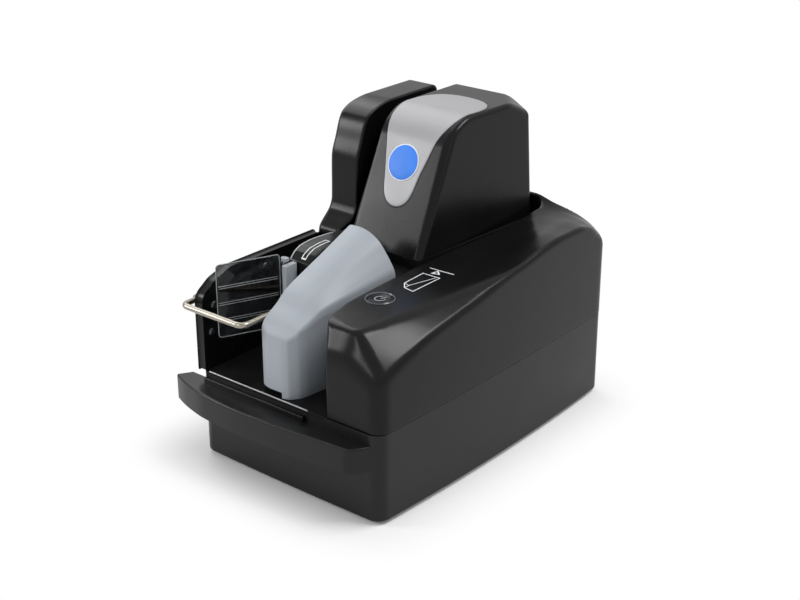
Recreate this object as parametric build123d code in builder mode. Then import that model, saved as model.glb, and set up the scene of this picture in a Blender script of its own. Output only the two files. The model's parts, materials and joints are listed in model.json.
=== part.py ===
from build123d import *
import os
from math import cos, radians, sin

# Desktop scanner for upright slips.  +X is the operator's right, the front
# faces -Y and +Z is up.  Everything below is laid out from the desk, under the middle
# of the base; save() then moves it so that the origin is on the desk, under the middle
# of the whole outline, which reaches past the base at the front and on the left.
# All sizes are in millimetres.

UPRIGHT = (Align.CENTER, Align.CENTER, Align.MIN)       # stands on its place
HANGING = (Align.CENTER, Align.CENTER, Align.MAX)       # hangs from its place
MIDDLE = (Align.CENTER, Align.CENTER, Align.CENTER)     # has its place in the middle

# ---------------------------------------------------------------- base
base_width = 152.0          # across the corners of the base
base_length = 245.0         # front to rear over the corners
base_height = 59.4          # bottom edge to the parting line
side_bow_low = 4.5          # outward bow of the long sides at the bottom edge
side_bow_high = 2.5         # and at the parting line
front_bow = 1.0             # bow of the front and rear walls
base_corner_radius = 9.0
base_edge_radius = 1.6
shell_wall = 2.5            # wall of every moulded housing
foot_height = 2.0
foot_radius = 8.0
foot_inset = 20.0           # foot centre, in from the corners
foot_chamfer = 0.5
touch_gap = 0.3             # between pieces that move past each other
pin_clearance = 0.05        # radial, shaft in hole
cut_margin = 5.0            # how far a cutting shape runs past what it cuts
lap = 1.0                   # how far a form runs into the one it joins
inner_trim = 2.5            # most that a rounded edge loses of its radius inside a housing
half_width = base_width / 2
front_y = -base_length / 2
rear_y = base_length / 2
parting_z = foot_height + base_height
floor_z = parting_z         # the slips stand on this level

# ---------------------------------------------------------------- deck
plate_thickness = 1.5       # steel chassis plate
deck_thickness = 2.0        # moulded floor that the slips stand on
plate_margin = 0.5          # chassis plate to the wall of the tub
post_radius = 4.0           # tub posts that carry the plate
post_inset = 14.0           # their middles, in from the corners of the base
screw_radius = 1.4
screw_length = 10.0         # in the post
screw_hole_depth = 12.0
screw_head_radius = 2.8
screw_head_height = 1.6
screw_clearance = 0.2

# ---------------------------------------------------------------- slip track, in plan
tower_width = 25.5          # outer tower, from the left side of the base
left_gap = 7.3              # track between the two towers
island_left = tower_width + left_gap - half_width  # left face of the island inside the U-shaped track
island_front = rear_y - 136.5
island_rear = rear_y - 14.5
island_right_front = island_left + 60.8  # right face of the island at its front end
island_right_rear = island_left + 70.6  # and at its rear end
right_gap = 2.4             # track beside the right cover
rear_gap = 5.0              # track round the rear of the island
track_corner_radius = 8.0
pocket_wall_x = island_right_front + 1.2  # left wall of the right cover along the entry pocket
pocket_rear = island_front - 36.0  # where that wall starts to close in on the track
cover_nose_x = pocket_wall_x + 14.2  # where that wall meets the front
cover_nose_length = 34.0    # length of its rounded lead-in
cover_nose_bulge = 3.4      # how far that lead-in curves out, to the left of its middle
cover_nose_middle = 0.42    # share of its length where it does so
island_height = 64.6        # island guide above the deck

# ---------------------------------------------------------------- right and rear cover
cover_front_z = floor_z + 59.1      # top of the cover behind its front slope
cover_front_slope = 9.0     # depth of that slope
cover_mid_z = floor_z + 63.2        # top beside the front of the tower
cover_lines = (-half_width, -30.0, 20.0, 50.0, 65.0, half_width)     # along the cover's rear part
cover_rows = (              # distance from the rear corners, then the top above cover_mid_z on each line
    (102.5, (1.0, 1.0, 1.0, 2.4, 3.9, 4.4)),
    (82.5, (1.7, 1.7, 1.7, 4.4, 7.3, 8.4)),
    (62.5, (2.4, 2.4, 2.4, 6.4, 9.4, 10.3)),
    (32.5, (4.4, 4.4, 4.4, 8.0, 9.6, 9.4)),
    (17.5, (7.4, 9.4, 8.0, 8.2, 7.0, 3.4)),
    (7.5, (7.4, 14.0, 14.0, 7.8, 2.6, -5.1)),
    (-5.0, (-5.1, 0.0, 0.0, -2.2, -10.2, -23.6)),
)
cover_top_margin = 15.0     # above cover_mid_z, clear of the highest row
front_facet_x = pocket_wall_x + 31.2        # middle of the front facet's lower edge
front_facet_z = floor_z + 43.2
front_facet_normal = (0.10, -0.87, 0.42)
right_facet_y = front_y + 32.5      # a place on the right facet's lower edge
right_facet_z = floor_z + 46.6
right_facet_normal = (0.72, -0.30, 0.62)

# ---------------------------------------------------------------- outer wall and outer tower
outer_wall_thickness = 6.5
outer_wall_height = 63.1    # above the deck
outer_wall_front_height = 55.0
outer_wall_bend = 9.0
outer_wall_bevel = 1.5
outer_wall_slope = 22.0     # length of the sloping front end
outer_wall_reach = 0.6      # its front end past the corners of the base
wall_screw_places = ((9.0, 43.2), (5.9, 25.2), (56.5, 53.6))     # behind the front, above the deck
wall_screw_length = 4.0
recess_depth = 0.7          # cross recess in the screws' heads
recess_width = 0.8
recess_length = 3.6
tower_lead_in = 7.0         # lead-in beside the pocket, across the track
tower_lead_slope = 1.6      # and its length over its width, turned by a right angle
shelf_thickness = 2.0
tower_front = island_front + 4.3
tower_rear = rear_y - 30.0
tower_top = floor_z + 148.9
tower_step_z = floor_z + 63.1  # top of the upright foot of its front
tower_profile = ((12.0, 77.2), (14.0, 81.4), (14.7, 112.1), (24.4, 138.6), (28.2, 143.0))
tower_top_start = 44.3      # where the flat top starts, from the front
tower_edge_radius = 4.0
hinge_y = tower_rear + 4.5
hinge_pin_radius = 2.0
knuckle_radius = 4.0
knuckle_web = 7.0           # width of the webs that carry the knuckles and the ears
hinge_pin_stand = 2.0       # the pin above the highest knuckle
hinge_x = knuckle_radius - half_width
knuckle_height = 13.0
ear_height = 8.0
ear_pitch = 26.0            # from the lower ear of the hinge to the upper one
sensor_height = 108.0       # tallest slip that the sensors read
sensor_width = 18.0
sensor_depth = 9.0
sensor_clear = 0.4
sensor_room = 1.0           # round the tall sensor where it goes through the island's top
sensor_sill = 1.5           # deck to the lower edge of the sensors' windows
glass_thickness = 1.5
inner_sensor_y = island_front + 44.0
outer_sensor_y = island_front + 56.0

# ---------------------------------------------------------------- centre tower
crown_top = floor_z + 148.6
crown_front_foot = island_front + 0.4
crown_front_top = crown_front_foot + 36.6  # where the slanted front ends
crown_front_top_z = floor_z + 141.6
crown_rear = island_rear - 3.0
crown_rear_round = 26.0
crown_rear_lean = 1.0       # lean of the rear face below that round
crown_brow_length = 12.0    # rounded edge between the slanted front and the top
crown_brow_middle = (4.2, 4.6)
crown_fit = 0.1             # right face out past the island at its foot
crown_rear_step = 2.4       # and in from the island at the rear
crown_lean = 0.05           # inward lean of the right face, per mm of height
crown_edge_radius = 9.0
crown_left_radius = 3.0
inlay_thickness = 0.6
badge_radius = 9.8
badge_thickness = 0.5
badge_x = island_left + 27.7
badge_up = 61.0             # along the slanted front, from its foot
inlay_middle_x = island_left + 28.2
inlay_view_rise = 0.9       # tilt of its outline's plane, up from the slanted front
inlay_reach = 60.0          # depth of the prism with its outline, each way
inlay_outline = (
    (-4, -52), (-12, -46), (-15.5, -30), (-19, -5), (-19.5, 12), (-14, 24), (0, 30),
    (16, 28), (25, 22), (22, 10), (14, -4), (8, -20), (4, -40),
)

# ---------------------------------------------------------------- grey divider hood
hood_left = island_left + 18.8
hood_right_front = hood_left + 30.0
hood_right_rear = hood_left + 39.6
hood_front = front_y + 1.5
hood_rear = island_front - 19.0
hood_front_z = floor_z + 47.6  # crease above the upright nose
hood_shoulder_y = hood_front + 9.0
hood_shoulder_z = floor_z + 52.6
hood_rear_z = floor_z + 88.6
hood_wall = 2.2
hood_side_drop = 3.0        # rounding of the right shoulder at the front
hood_side_run = 3.0
hood_rear_drop = 29.0       # and at the rear
hood_rear_run = 22.0
hood_crest_drop = 1.6       # bevel along the crest on the left
hood_crest_run = 3.0
hood_nose_left = (4.2, 2.6)     # middle of the nose's left curve, from its corner
hood_nose_right = (3.4, 4.0)    # middle of its right curve
hood_nose_tip = 14.0        # foremost point, from the left side
hood_nose_back = (1.0, 2.0)  # ends of its left and right curves, behind the shoulder
hood_lift = 4.0             # left part of the nose clears the deck by this much
hood_lift_x = hood_left + 19.9
hood_lift_length = 26.0

# ---------------------------------------------------------------- black feeder block
block_front = island_front - 57.0
block_left = island_left
block_top = floor_z + 74.6
block_front_top = floor_z + 64.6
block_rear_top = floor_z + 72.6
block_crest_back = 22.0     # highest point of its top, from the front
guide_length = 14.0         # guide of the wire stop's right leg
guide_wall = 1.2
block_step_z = floor_z + 58.6  # low part between the hood and the tower

# ---------------------------------------------------------------- exit flap and its post
post_left = island_left + 4.2
post_right = post_left + 7.0
post_front = block_front - 11.0
post_rear = block_front - 0.6
post_top = floor_z + 70.1
post_chamfer = 0.6
flap_pin_x = post_left - 2.6
flap_pin_y = post_rear - 5.4
flap_pin_radius = 1.0
flap_knuckle_radius = 1.9
flap_length = 46.0
flap_thickness = 1.8
flap_bottom = floor_z + 24.6
flap_top = floor_z + 74.2
flap_angle = 24.0           # from the -Y direction, towards the outer wall
flap_rib_pitch = 11.2
flap_rib_height = 1.2
flap_rib_stand = 0.35
flap_rib_count = 3
flap_rib_start = 5.0        # from the pin
flap_rib_end = 1.0          # and short of the free end
flap_corner_radius = 3.0
ear_thickness = 2.5
ear_top_drop = 5.0          # the upper ear sits below the flap's top edge

# ---------------------------------------------------------------- wire stop
wire_radius = 2.0
wire_z = floor_z + 45.1
wire_left_x = -half_width - 5.4
wire_right_x = island_left + 15.0
wire_front_y = front_y - 7.1
wire_bend_radius = 6.0
wire_chamfer = 0.5
collar_length = 26.0
collar_front = front_y + 4.5
collar_plate = 1.6
collar_radius = 3.4
wire_travel = 30.0          # how far the stop slides out
wire_left_spare = 2.4       # left leg behind the collar at full travel
wire_right_hold = 7.4       # right leg still in its guide at full travel

# ---------------------------------------------------------------- front tray
tray_top_z = parting_z - 7.4
tray_height = 17.0
tray_depth = 18.0           # in front of the base, at the middle
tray_wing = 17.0            # past the left side of the base
tray_wall = 2.5
tray_lip_height = 3.6
tray_lip_depth = 2.4
tray_lip_right = pocket_wall_x - 1.3
tray_right = half_width - 2.6
tray_bow_x = -22.0          # foremost point of its bow
tray_wing_front = 5.5       # front corner of the wing, in front of the base
tray_wing_slant = 6.0       # slant of the wing's left end
tray_corner = (10.0, 12.0)  # right front corner, in from the right end and from the base
tray_bevel = (7.4, 7.0)     # where its bevel starts to close in on the base
tray_chamfer = 0.8
tray_overlap = 4.0          # how far its outline runs into the base before it is cut to it

# ---------------------------------------------------------------- power button
button_x = pocket_wall_x + 13.6
button_y = island_front - 55.5
button_radius = 8.3
bezel_radius = 9.8
cup_wall = 0.7
bezel_stand = 0.5
button_height = 6.0
button_travel = 1.0
cup_depth = 9.0
cup_floor = 1.5
bezel_flange = 0.6
bezel_edge_radius = 0.3
cap_drop = 0.2              # the button below the bezel's rim
cap_edge_radius = 0.8
stem_step = 2.0             # its stem, in from its side

# ---------------------------------------------------------------- transport
roller_radius = 8.0
roller_length = 30.0
roller_low_z = floor_z + 10.6
roller_edge_radius = 0.6
shaft_radius = 2.0
shaft_chamfer = 0.4
shaft_tail = 2.0            # below the pulley
shaft_stand = 3.0           # above the roller
pulley_radius = 7.0
pulley_height = 7.0
pulley_flange = 0.8
belt_thickness = 1.4
bush_radius = 3.4
bush_flange = 1.0
belt_width = 5.0
belt_drop = 2.4             # chassis plate to the top of the pulleys
drive_y = (island_front + 22.0, island_front + 88.0)     # drive rollers on the right side of the island
left_drive_y = island_front + 80.0  # drive roller on the left side of the island
left_roller_radius = 8.0
pinch_radius = 6.0
pinch_pin_radius = 1.5
pin_shoulder = 0.8
feed_radius = 12.0
feed_y = island_front - 48.0
feed_reach = 1.5            # feed roller past the wall of the hood
retard_radius = 11.0
arm_thickness = 3.0
arm_pivot_x = pocket_wall_x + 11.2
arm_pivot_y = feed_y - 38.0
arm_pin_radius = 2.0
arm_boss_radius = 4.5
arm_belly = 2.5
arm_tip_gap = 1.5           # arm's tip to the wall of the hood
arm_height = 26.0
arm_window = 24.0           # length of its window in the wall of the cover
arm_window_y = feed_y - 24.0
arm_window_room = 2.0       # over and under the arm
arm_pin_stand = 2.0         # its pin above the arm
arm_low_z = floor_z + 12.6
arm_tip_y = feed_y - 18.0
motor_x = island_left + 13.2
motor_y = island_front + 6.0
motor_size = 35.0
motor_length = 24.0
motor_shaft_hold = 10.0     # length of its shaft inside the motor
motor_corner_radius = 4.0
motor_collar_height = 1.5
motor_bore_depth = 15.0
bracket_wing = 9.0
bracket_leg = 3.0           # thickness of the bracket's legs
bracket_thickness = 2.0
bracket_drop = 12.5         # chassis plate to the bracket

# ---------------------------------------------------------------- electronics
board_width = 96.0
board_length = 70.0
board_thickness = 1.6
board_y = rear_y - 48.5
standoff_height = 6.0
standoff_radius = 3.2
standoff_inset = 5.0        # their middles, in from the edges of the board
chip_height = 2.2
socket_width = 12.0
socket_height = 11.0
socket_depth = 16.0
socket_wall = 1.5
socket_mouth_depth = 9.0
socket_tongue_gap = 2.0     # round the tongue in the mouth
socket_tongue_back = 1.0    # from the mouth's rim to the tongue
jack_radius = 3.2
jack_size = 11.0
jack_bore_depth = 9.0
jack_pin_radius = 1.0
board_chips = ((-14, -12, 14), (20, -10, 9), (0, 16, 7))
head_width = 14.0
head_height = 12.0
head_depth = 9.0
head_nose_radius = 2.5
head_y = island_front + 54.0
head_reach = 0.9            # head past the wall of the island
glass_recess = 0.3
socket_x = 30.0
jack_x = -24.0
wall_hole_margin = 0.3
window_margin = 0.6         # round a roller in its window

# ---------------------------------------------------------------- worked out
outline_mid_x = (side_bow_low - tray_wing) / 2      # middle of the whole outline in plan
outline_mid_y = (front_bow - tray_depth) / 2
plate_top = parting_z - deck_thickness
plate_bottom = plate_top - plate_thickness
island_top = floor_z + island_height
outer_left = island_left - left_gap
track_rear = island_rear + rear_gap
roller_mid_z = roller_low_z + roller_length / 2
sensor_low_z = floor_z + sensor_sill
pulley_top = plate_bottom - belt_drop
pulley_bottom = pulley_top - pulley_height
roller_reach = (right_gap - touch_gap) / 2
left_reach = (left_gap - touch_gap) / 2
outer_wall_left = -half_width
wall_screws_at = [(front_y + y, floor_z + z) for y, z in wall_screw_places]
outer_wall_right = outer_wall_left + outer_wall_thickness
tongue_left = outer_wall_right
tub_floor_z = foot_height + shell_wall
board_z = tub_floor_z + standoff_height
socket_mid_z = board_z + board_thickness + socket_height / 2
jack_mid_z = board_z + board_thickness + jack_size / 2
post_x = half_width - post_inset
post_y = rear_y - post_inset
post_places = [(-post_x, -post_y), (-post_x, post_y), (post_x, -post_y), (post_x, post_y)]
left_width = outer_left - outer_wall_left
swing_corner = Vector(outer_left - tower_lead_in - hinge_x, tower_front - hinge_y, 0)
outer_wall_rear = hinge_y - swing_corner.length - touch_gap     # clear of the swinging tower
first_ear_z = floor_z + knuckle_height + 2 * touch_gap
second_ear_z = first_ear_z + ear_pitch
knuckle_low_z = (floor_z + touch_gap, second_ear_z + ear_height + touch_gap)
ear_low_z = (first_ear_z, second_ear_z)
cup_radius = button_radius + touch_gap + cup_wall
flap_dir = Vector(-sin(radians(flap_angle)), -cos(radians(flap_angle)), 0)


def island_right(y: float) -> float:
    """X of the island's right face at a given Y."""
    share = (y - island_front) / (island_rear - island_front)
    return island_right_front + (island_right_rear - island_right_front) * share


def hood_right(y: float) -> float:
    """X of the hood's right wall at a given Y."""
    share = (y - hood_shoulder_y) / (hood_rear - hood_shoulder_y)
    return hood_right_front + (hood_right_rear - hood_right_front) * max(share, 0.0)


def cover_height(y: float) -> float:
    """Height of the right cover's top between its front slope and the foot of the tower."""
    slope_end = front_y + cover_front_slope
    share = (y - slope_end) / (island_front - slope_end)
    return cover_front_z + (cover_mid_z - cover_front_z) * share


def save(piece: BuildPart, name: str) -> None:
    """Label a finished piece, move it to the part's frame and write its STEP file."""
    piece.part.label = name
    placed = piece.part.moved(Location((-outline_mid_x, -outline_mid_y, 0)))
    export_step(placed, f"parts/{name}.step")


def bowed_outline(bow: float, inset: float) -> Sketch:
    """Plan of the base: a rectangle whose sides bow outwards, corners rounded."""
    x = half_width - inset
    y = rear_y - inset
    with BuildSketch() as outline:
        with BuildLine():
            ThreePointArc((x, -y), (x + bow, 0), (x, y))
            ThreePointArc((x, y), (0, y + front_bow), (-x, y))
            ThreePointArc((-x, y), (-x - bow, 0), (-x, -y))
            ThreePointArc((-x, -y), (0, -y - front_bow), (x, -y))
        make_face()
        fillet(outline.vertices(), base_corner_radius - inset)
    return outline.sketch


def tub_form(inset: float, bottom: float, top: float) -> Part:
    """Drafted block of the base between two heights."""
    with BuildPart() as form:
        with BuildSketch(Plane.XY.offset(bottom)):
            add(bowed_outline(side_bow_low, inset))
        with BuildSketch(Plane.XY.offset(top)):
            add(bowed_outline(side_bow_high, inset))
        loft()
    return form.part


def make_base_tub() -> None:
    """Lower housing: an open tub with posts that carry the chassis plate."""
    with BuildPart() as tub:
        add(tub_form(0, foot_height, parting_z))
        fillet(tub.faces().sort_by(Axis.Z)[0].edges(), base_edge_radius)
        add(tub_form(shell_wall, tub_floor_z, parting_z + lap), mode=Mode.SUBTRACT)
        with BuildSketch(Plane.XY.offset(tub_floor_z)):
            with Locations(*post_places):
                Circle(post_radius)
        extrude(amount=plate_bottom - tub_floor_z)
        with Locations(*[(x, y, plate_bottom) for x, y in post_places]):
            Hole(screw_radius, depth=screw_hole_depth)
        # notch in the front rim for the deck's tongue
        with BuildSketch(Plane.XY.offset(plate_top)):
            with Locations(((tongue_left + cover_nose_x) / 2, front_y)):
                Rectangle(cover_nose_x - tongue_left, 2 * shell_wall + 2 * front_bow)
        extrude(amount=deck_thickness + lap, mode=Mode.SUBTRACT)
        # rear openings for the sockets
        with BuildSketch(Plane.XZ.offset(-rear_y - cut_margin)):
            with Locations((socket_x, socket_mid_z)):
                Rectangle(socket_width + 2 * wall_hole_margin, socket_height + 2 * wall_hole_margin)
            with Locations((jack_x, jack_mid_z)):
                Rectangle(jack_size + 2 * wall_hole_margin, jack_size + 2 * wall_hole_margin)
        extrude(amount=4 * cut_margin, mode=Mode.SUBTRACT)
    save(tub, "base_tub")


def make_feet() -> None:
    """Four rubber feet under the base."""
    with BuildPart() as feet:
        with BuildSketch():
            with GridLocations(base_width - 2 * foot_inset, base_length - 2 * foot_inset, 2, 2):
                Circle(foot_radius)
        extrude(amount=foot_height)
        chamfer(feet.faces().sort_by(Axis.Z)[:4].edges(), foot_chamfer)
    save(feet, "rubber_feet")


def shaft_places() -> list[tuple[float, float]]:
    """Plan positions of the driven shafts: the feed shaft, then the drive shafts."""
    feed = (hood_right(feed_y) + feed_reach - feed_radius, feed_y)
    right = [(island_right(y) + roller_reach - roller_radius, y) for y in drive_y]
    left = (island_left - left_reach + left_roller_radius, left_drive_y)
    return [feed, *right, left]


def pinch_places() -> list[tuple[float, float]]:
    """Plan positions of the pinch rollers across the track from the drive rollers."""
    right = [(island_right(y) + right_gap - roller_reach + pinch_radius, y) for y in drive_y]
    return [*right, (outer_left + left_reach - pinch_radius, left_drive_y)]


def retard_place() -> tuple[float, float]:
    """Plan position of the retard roller, across the pocket from the feed roller."""
    x = hood_right(feed_y) + feed_reach + touch_gap + retard_radius
    return (x, feed_y)


def make_chassis_plate() -> None:
    """Steel plate on the tub's posts, with holes for every shaft."""
    with BuildPart() as plate:
        with BuildSketch(Plane.XY.offset(plate_bottom)):
            add(bowed_outline(side_bow_high, shell_wall + plate_margin))
            with Locations(*shaft_places()):
                Circle(bush_radius, mode=Mode.SUBTRACT)
            with Locations(*post_places):
                Circle(screw_radius + screw_clearance, mode=Mode.SUBTRACT)
        extrude(amount=plate_thickness)
    save(plate, "chassis_plate")


def make_chassis_screws() -> None:
    """Four screws that hold the chassis plate to the tub's posts."""
    with BuildPart() as screws:
        with BuildSketch(Plane.XY.offset(plate_bottom - screw_length)):
            with Locations(*post_places):
                Circle(screw_radius)
        extrude(amount=screw_length + plate_thickness)
        with BuildSketch(Plane.XY.offset(plate_top)):
            with Locations(*post_places):
                Circle(screw_head_radius)
        extrude(amount=screw_head_height)
    save(screws, "chassis_screws")


def make_track_deck() -> None:
    """Moulded floor of the track and the pockets, with a tongue over the front rim."""
    with BuildPart() as deck:
        with BuildSketch(Plane.XY.offset(plate_top)):
            add(bowed_outline(side_bow_high, shell_wall + plate_margin))
            with Locations(((tongue_left + cover_nose_x) / 2, front_y + shell_wall)):
                Rectangle(cover_nose_x - tongue_left - 2 * touch_gap, 2 * shell_wall)
            with Locations(*shaft_places()):
                Circle(bush_radius + screw_clearance, mode=Mode.SUBTRACT)
            with Locations(*post_places):
                Circle(screw_head_radius + touch_gap, mode=Mode.SUBTRACT)
        extrude(amount=deck_thickness)
    save(deck, "track_deck")


def cover_plan(inset: float) -> Sketch:
    """Plan of the right and rear cover: the base outline less everything it wraps."""
    wrap_y = tower_rear + 2 * touch_gap
    notch_y = hinge_y + knuckle_radius + touch_gap
    notch_x = hinge_x + knuckle_radius + touch_gap
    far = base_width
    rear_right = (island_right(track_rear) + right_gap, track_rear)
    rear_left = (outer_left, track_rear)
    nose_mid_x = (pocket_wall_x + cover_nose_x) / 2 - cover_nose_bulge
    nose_mid = (nose_mid_x, front_y + cover_nose_middle * cover_nose_length)
    with BuildSketch() as wrapped:
        with BuildLine():
            Line((cover_nose_x, front_y - 2 * cut_margin), (cover_nose_x, front_y))
            ThreePointArc((cover_nose_x, front_y), nose_mid, (pocket_wall_x, front_y + cover_nose_length))
            Polyline(
                (pocket_wall_x, front_y + cover_nose_length),
                (pocket_wall_x, pocket_rear),
                (island_right_front + right_gap, island_front),
                rear_right,
                rear_left,
                (outer_left, wrap_y),
                (notch_x, wrap_y),
                (notch_x, notch_y),
                (-far, notch_y),
                (-far, front_y - 2 * cut_margin),
                (cover_nose_x, front_y - 2 * cut_margin),
            )
        make_face()
        corners = [wrapped.vertices().sort_by_distance(Vector(*p, 0))[0] for p in (rear_right, rear_left)]
        fillet(corners, track_corner_radius)
        if inset:
            offset(amount=inset, kind=Kind.INTERSECTION, mode=Mode.REPLACE)
    with BuildSketch() as plan:
        add(bowed_outline(side_bow_high, inset))
        add(wrapped.sketch, mode=Mode.SUBTRACT)
    return plan.sketch


def cover_section(y: float, low: float, heights: tuple[float, ...]) -> Sketch:
    """Upright cross-section of the space under the cover's top, wider than the cover."""
    far = (cover_lines[0] - cut_margin, *cover_lines[1:-1], cover_lines[-1] + cut_margin)
    with BuildSketch(Plane.XZ.offset(-y)) as section:
        with BuildLine():
            Polyline((far[0], low), *zip(far, heights), (far[-1], low), (far[0], low))
        make_face()
    return section.sketch


def cover_form(inset: float) -> Part:
    """Right and rear cover as a block, or its hollow when inset by the wall."""
    low = parting_z - (cut_margin if inset else 0)
    count = len(cover_lines)
    fronts = [(y, (cover_height(y) - inset,) * count) for y in (front_y - cut_margin, island_front)]
    rears = [(rear_y - back, tuple(cover_mid_z + up - inset for up in rises)) for back, rises in cover_rows]
    with BuildPart() as form:
        loft(sections=[cover_section(y, low, heights) for y, heights in fronts + rears], ruled=True)
        with BuildSketch(Plane.XY.offset(low)):
            add(cover_plan(inset))
        extrude(amount=cover_mid_z + cover_top_margin - low, mode=Mode.INTERSECT)
        facets = (
            ((front_facet_x, front_y, front_facet_z), front_facet_normal),
            ((half_width, right_facet_y, right_facet_z), right_facet_normal),
        )
        for place, normal in facets:
            outward = Vector(*normal).normalized()
            split(bisect_by=Plane(Vector(*place) - outward * inset, z_dir=outward), keep=Keep.BOTTOM)
    return form.part


def window(x: float, y: float, size: tuple[float, float, float], low_z: float) -> Part:
    """Upright box that cuts a window in a track wall."""
    with BuildPart() as cut:
        with Locations((x, y, low_z)):
            Box(*size, align=UPRIGHT)
    return cut.part


def roller_window(place: tuple[float, float], radius: float, low_z: float, length: float) -> Part:
    """Round window that a roller turns in."""
    with BuildPart() as cut:
        with Locations((*place, low_z - window_margin)):
            Cylinder(
                radius + window_margin,
                length + 2 * window_margin,
                align=UPRIGHT,
            )
    return cut.part


def make_main_cover() -> None:
    """Right and rear cover: thin walls, windows for the rollers, a seat for the button."""
    with BuildPart() as cover:
        add(cover_form(0))
        add(cover_form(shell_wall), mode=Mode.SUBTRACT)
        for place in pinch_places()[:2]:
            add(roller_window(place, pinch_radius, roller_low_z, roller_length), mode=Mode.SUBTRACT)
        add(roller_window(retard_place(), retard_radius, roller_low_z, roller_length), mode=Mode.SUBTRACT)
        arm_hole = (4 * shell_wall, arm_window, arm_height + 2 * arm_window_room)
        arm_hole_z = arm_low_z - arm_window_room
        add(window(pocket_wall_x, arm_window_y, arm_hole, arm_hole_z), mode=Mode.SUBTRACT)
        # seat of the button's bezel
        seat_z = cover_height(button_y) - bezel_flange
        with Locations((button_x, button_y, seat_z)):
            Cylinder(cup_radius, 4 * cup_depth, mode=Mode.SUBTRACT)
            Cylinder(bezel_radius, cup_depth, align=UPRIGHT, mode=Mode.SUBTRACT)
        # ears that hold the hinge pin of the outer tower
        for low in ear_low_z:
            with BuildSketch(Plane.XY.offset(low)):
                with Locations((hinge_x, hinge_y)):
                    Circle(knuckle_radius)
                with Locations((hinge_x, hinge_y + knuckle_radius)):
                    Rectangle(knuckle_web, 2 * knuckle_radius)
                with Locations((hinge_x, hinge_y)):
                    Circle(hinge_pin_radius, mode=Mode.SUBTRACT)
            extrude(amount=ear_height)
    save(cover, "main_cover")


def make_hinge_pin() -> None:
    """Pin of the outer tower's hinge, standing on the deck."""
    with BuildPart() as pin:
        with Locations((hinge_x, hinge_y, floor_z)):
            Cylinder(
                hinge_pin_radius,
                ear_low_z[-1] + ear_height + knuckle_height + hinge_pin_stand - floor_z,
                align=UPRIGHT,
            )
    save(pin, "tower_hinge_pin")


def island_plan(inset: float) -> Sketch:
    """Plan of the island that the track runs round."""
    x = inset
    with BuildSketch() as plan:
        with BuildLine():
            Polyline(
                (island_left + x, island_front + x),
                (island_right(island_front) - x, island_front + x),
                (island_right(island_rear) - x, island_rear - x),
                (island_left + x, island_rear - x),
                (island_left + x, island_front + x),
            )
        make_face()
        rear = plan.vertices().group_by(Axis.Y)[-1]
        fillet(rear, track_corner_radius - rear_gap / 2 - inset)
    return plan.sketch


def make_island_guide() -> None:
    """Inner guide of the track: the walls under the centre tower, and the ledge round its foot."""
    with BuildPart() as guide:
        with BuildSketch(Plane.XY.offset(floor_z)):
            add(island_plan(0))
        extrude(amount=island_height)
        with BuildSketch(Plane.XY.offset(floor_z)):
            add(island_plan(shell_wall))
        extrude(amount=island_height - shell_wall, mode=Mode.SUBTRACT)
        for place in shaft_places()[1:]:
            radius = left_roller_radius if place[0] < 0 else roller_radius
            add(roller_window(place, radius, roller_low_z, roller_length), mode=Mode.SUBTRACT)
            with Locations((*place, island_top)):
                Hole(shaft_radius + pin_clearance, depth=2 * shell_wall)
        sensor_hole = (6 * shell_wall, sensor_width, 2 * sensor_height)
        add(window(island_left, inner_sensor_y, sensor_hole, sensor_low_z), mode=Mode.SUBTRACT)
        head_hole = (4 * shell_wall, head_width, head_height + touch_gap)
        add(window(island_right(head_y), head_y, head_hole, floor_z), mode=Mode.SUBTRACT)
        # opening in the top for the tall sensor
        top_hole = (sensor_depth + 4 * sensor_room, sensor_width + 2 * sensor_room, 4 * cut_margin)
        top_hole_x = island_left + shell_wall + sensor_depth / 2 + sensor_room
        add(window(top_hole_x, inner_sensor_y, top_hole, island_top - 2 * cut_margin), mode=Mode.SUBTRACT)
    save(guide, "island_guide")


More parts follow.
